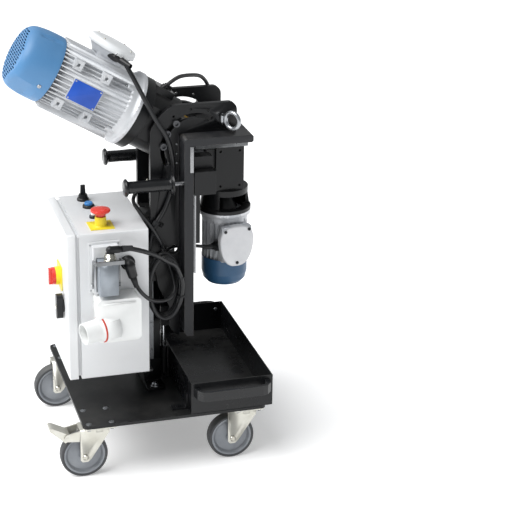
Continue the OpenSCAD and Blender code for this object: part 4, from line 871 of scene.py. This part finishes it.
keep("feed_gland_nut", bm, "jaw", knob_black, smooth=40)
print("feed motor dressed")

# %% [markdown]
# A castor wheel is two turned rings: a dished rim with a raised hub and a tyre that bulges a little past it.
# The outline runs round the ring's own section, so the bore for the axle stays open.

# %% Castor wheels
def both_sides(half):
    return half + [(r, -z) for r, z in reversed(half)]


rim = both_sides([(5.1, -19.5), (12.2, -19.5), (13.2, -18.6), (15.5, -9.5), (18, -8.2), (40, -5.6), (44, -6.6),
                  (47.4, -11), (49.4, -13.6), (52, -14.4), (54.1, -14.2)])
tyre = both_sides([(54.2, -14), (56.5, -15.6), (59, -15.9), (60.8, -14.6), (61.9, -11.5), (62.4, -7), (62.5, -2.5)])
for name, x, y in CASTORS:
    bm = bmesh.new()
    turned(bm, rim, steps=72, closed=True)
    turned(bm, tyre, steps=72, closed=True)
    for face in bm.faces:
        face.material_index = 1 if face.calc_center_median().xy.length > 53.9 else 0
    wheel = keep("wheel_" + name, bm, "wheel_" + name, [rim_grey, tyre_rubber],
                 PLACE @ spot(x, y, WHEEL_R) @ ALONG_Y, 30)
    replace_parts(wheel, "castor_wheel_" + name)
print("wheels: 4")

# %% [markdown]
# On the cabinet's front side sit the power inlet, the rectangular connector and the round plug. The inlet's
# sleeve carries a red ring between its flange and its mouth, and its pins are bright metal.

# %% Inlet, connector and plugs
sleeve_frame = (PLACE @ spot(-148, -217, 424) @ turn_about("Z", 16)
                @ turn_about("Y", -94))
painted_copy("inlet_case", "power_inlet", [
    (nickel, lambda c: math.hypot(c.x, c.y) < 17 and c.z > 20.5), (inlet_white, rest)], sleeve_frame)
bm = bmesh.new()
turned(bm, [(32.4, 39.9), (35.2, 39.9), (35.6, 40.6), (35.6, 43.2), (35.0, 43.9), (32.4, 43.9)], sleeve_frame, 64,
       closed=True)
keep("inlet_ring", bm, "base", ring_red, smooth=40)
hood_grey = finish("connector casting", "a2a9b0", "949ba3", 0.42, 0.3, scale=900.0, bump=0.2, mottle=16.0, rub=0.3)
painted_copy("hood_case", "connector_hood", [
    (knob_black, lambda c: c.z > 624.9), (nickel, lambda c: c.z > 605.01), (hood_grey, rest)])
painted_copy("round_plugs", "cabinet_plugs", [
    (nickel, lambda c: c.x > -60 and 479.9 < c.z < 487.1), (knob_black, rest)])
bm = bmesh.new()
turned(bm, [(6.05, 0), (8.6, 0), (8, 8), (7.1, 20), (6.5, 27), (6.05, 27)], PLACE @ spot(-131, -227.2, 633) @ ALONG_X,
       28, closed=True)
turned(bm, [(5.05, 0), (8.4, 0), (7.7, 7), (6.3, 18), (5.5, 24), (5.05, 24)],
       PLACE @ spot(-108, -205, 577) @ turn_about("Y", 164) @ spot(0, 0, 39), 28, closed=True)
keep("cord_sleeves", bm, "base", gasket_black, smooth=40)
print("cabinet's front side dressed")

# %% [markdown]
# The stop button is a soft mushroom on a neck. The other controls keep their solids. The door gets its own
# coat, a dark seal inside its folded edge and a lock insert in the latch.

# %% Controls and door
bm = bmesh.new()
turned(bm, [(0, 12), (8.9, 12), (8.9, 29.6), (13.7, 29.6), (13.9, 35.6), (16.5, 37.4), (24, 38.2), (25.4, 40),
            (25.5, 42.6), (24.2, 44.8), (18, 46.6), (10, 47.6), (0, 48)], PLACE @ spot(-165, -128, 662), 64)
mushroom = keep("stop_mushroom", bm, "stop_button", signal_red, smooth=34)
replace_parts(mushroom, "stop_button")
painted_copy("stop_plate", "stop_collar", [
    (signal_red, lambda c: c.z > 663.8 and c.z < 686 and c.y > -128 + 14.2 and abs(c.x + 165) < 4),
    (signal_yellow, rest)])
painted_copy("door_pan", "cabinet_door", [
    (bolt_zinc, lambda c: math.hypot(c.x + 240, c.y - 119) < 4.2), (door_grey, rest)])
bm = bmesh.new()
for low, high in (((-259.9, -176, 652.6), (-253, 114, 657.6)), ((-259.9, -176, 266.4), (-253, 114, 271.4)),
                  ((-259.9, -176.4, 268), (-253, -171.4, 656)), ((-259.9, 109.4, 268), (-253, 114.4, 656))):
    block(bm, low, high, rim=1.2, place=PLACE)
keep("door_seal", bm, "door", gasket_black)
bm = bmesh.new()
turned(bm, [(0, 0), (7, 0), (7, 1.4), (6.2, 2), (3, 2), (2.6, 1), (0, 0.9)],
       PLACE @ facing(-281.8, -110, 444, "-x"), 32)
keep("latch_insert", bm, "latch", nickel)
print("door and controls dressed")

# %% [markdown]
# Small things finish the frame: a ground strip on the leg's front edge, two ties round the coil, a screw on
# the tray's rear wall, and small screws in the index holes of the front quadrant.

# %% Strip, ties and screws
bm = bmesh.new()
block(bm, (67.5, -139.3, 787), (76.5, -137.9, 856), rim=0.3, place=PLACE)
keep("gauge_strip", bm, "carriage", ground_steel)
bm = bmesh.new()
for z, tilt in ((508, 4), (452, -5)):
    tie = turned(bm, [(1.0, -2.2), (1.12, -2.2), (1.12, 2.2), (1.0, 2.2)], None, 40, closed=True)
    shape = (PLACE @ spot(41.8, -137.1, z) @ turn_about("X", tilt)
             @ Matrix.Diagonal((8.6, 19.6, 1, 1)))
    bmesh.ops.transform(bm, matrix=shape, verts=tie)
keep("coil_ties", bm, "base", gasket_black, smooth=40)
bm = bmesh.new()
for z in (799, 824.5, 850):
    pan_screw(bm, 3.0, 2.0, PLACE @ facing(45, -86.4, z, "-y"))
keep("index_screws", bm, "carriage", tool_steel)
bm = bmesh.new()
pan_screw(bm, 5.5, 2.6, PLACE @ facing(242, 242.1, 228, "-y"))
keep("tray_screw", bm, "tray", bolt_zinc)

# %% [markdown]
# The photograph was lit from above and from the left, with a white ground all round. A broad sun gives the
# even ground and the bright tops, and the pale air fills the shadows. One soft panel from the upper left draws
# highlights on the black paint and the cords, and a lower one lights the cabinet's top under the motor.

# %% Studio
bm = bmesh.new()
bmesh.ops.create_grid(bm, x_segments=1, y_segments=1, size=60)
floor_mesh = bpy.data.meshes.new("studio_floor")
bm.to_mesh(floor_mesh)
bm.free()
floor = in_scene("studio_floor", floor_mesh)
floor_paint = finish("studio floor", "f8f8f8", "f6f6f6", 0.8, bump=0.0, mottle=0.5)
glow = floor_paint.node_tree.nodes["Principled BSDF"]
glow.inputs["Emission Color"].default_value = (1.0, 1.0, 1.0, 1.0)
glow.inputs["Emission Strength"].default_value = 0.3
floor_mesh.materials.append(floor_paint)
floor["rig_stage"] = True

world = bpy.data.worlds.new("studio air")
bpy.context.scene.world = world
world.use_nodes = True
air = world.node_tree.nodes["Background"]
air.inputs["Color"].default_value = (0.96, 0.98, 1.0, 1.0)
air.inputs["Strength"].default_value = 0.36


def lamp(name, kind, where, towards, power, **settings):
    data = bpy.data.lights.new(name, kind)
    data.energy = power
    for key, value in settings.items():
        setattr(data, key, value)
    holder = in_scene(name, data)
    holder.location = where
    holder.rotation_euler = (Vector(towards) - Vector(where)).to_track_quat("-Z", "Y").to_euler()


lamp("broad sun", "SUN", (-3.0, -0.8, 4.6), (0, 0, 0), 3.0, angle=math.radians(50))
lamp("upper left panel", "AREA", (-2.4, -1.2, 2.9), (0, 0, 0.7), 7, shape="RECTANGLE", size=1.6, size_y=1.2)
lamp("low rear panel", "AREA", (-2.2, 0.9, 1.7), (-0.2, 0, 0.65), 13, shape="RECTANGLE", size=1.2, size_y=0.8)
bpy.context.scene.view_settings.view_transform = "Standard"

# %% Sizes and the end
low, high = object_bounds()
print("visual box", [round(v, 4) for v in (*low, *high)])
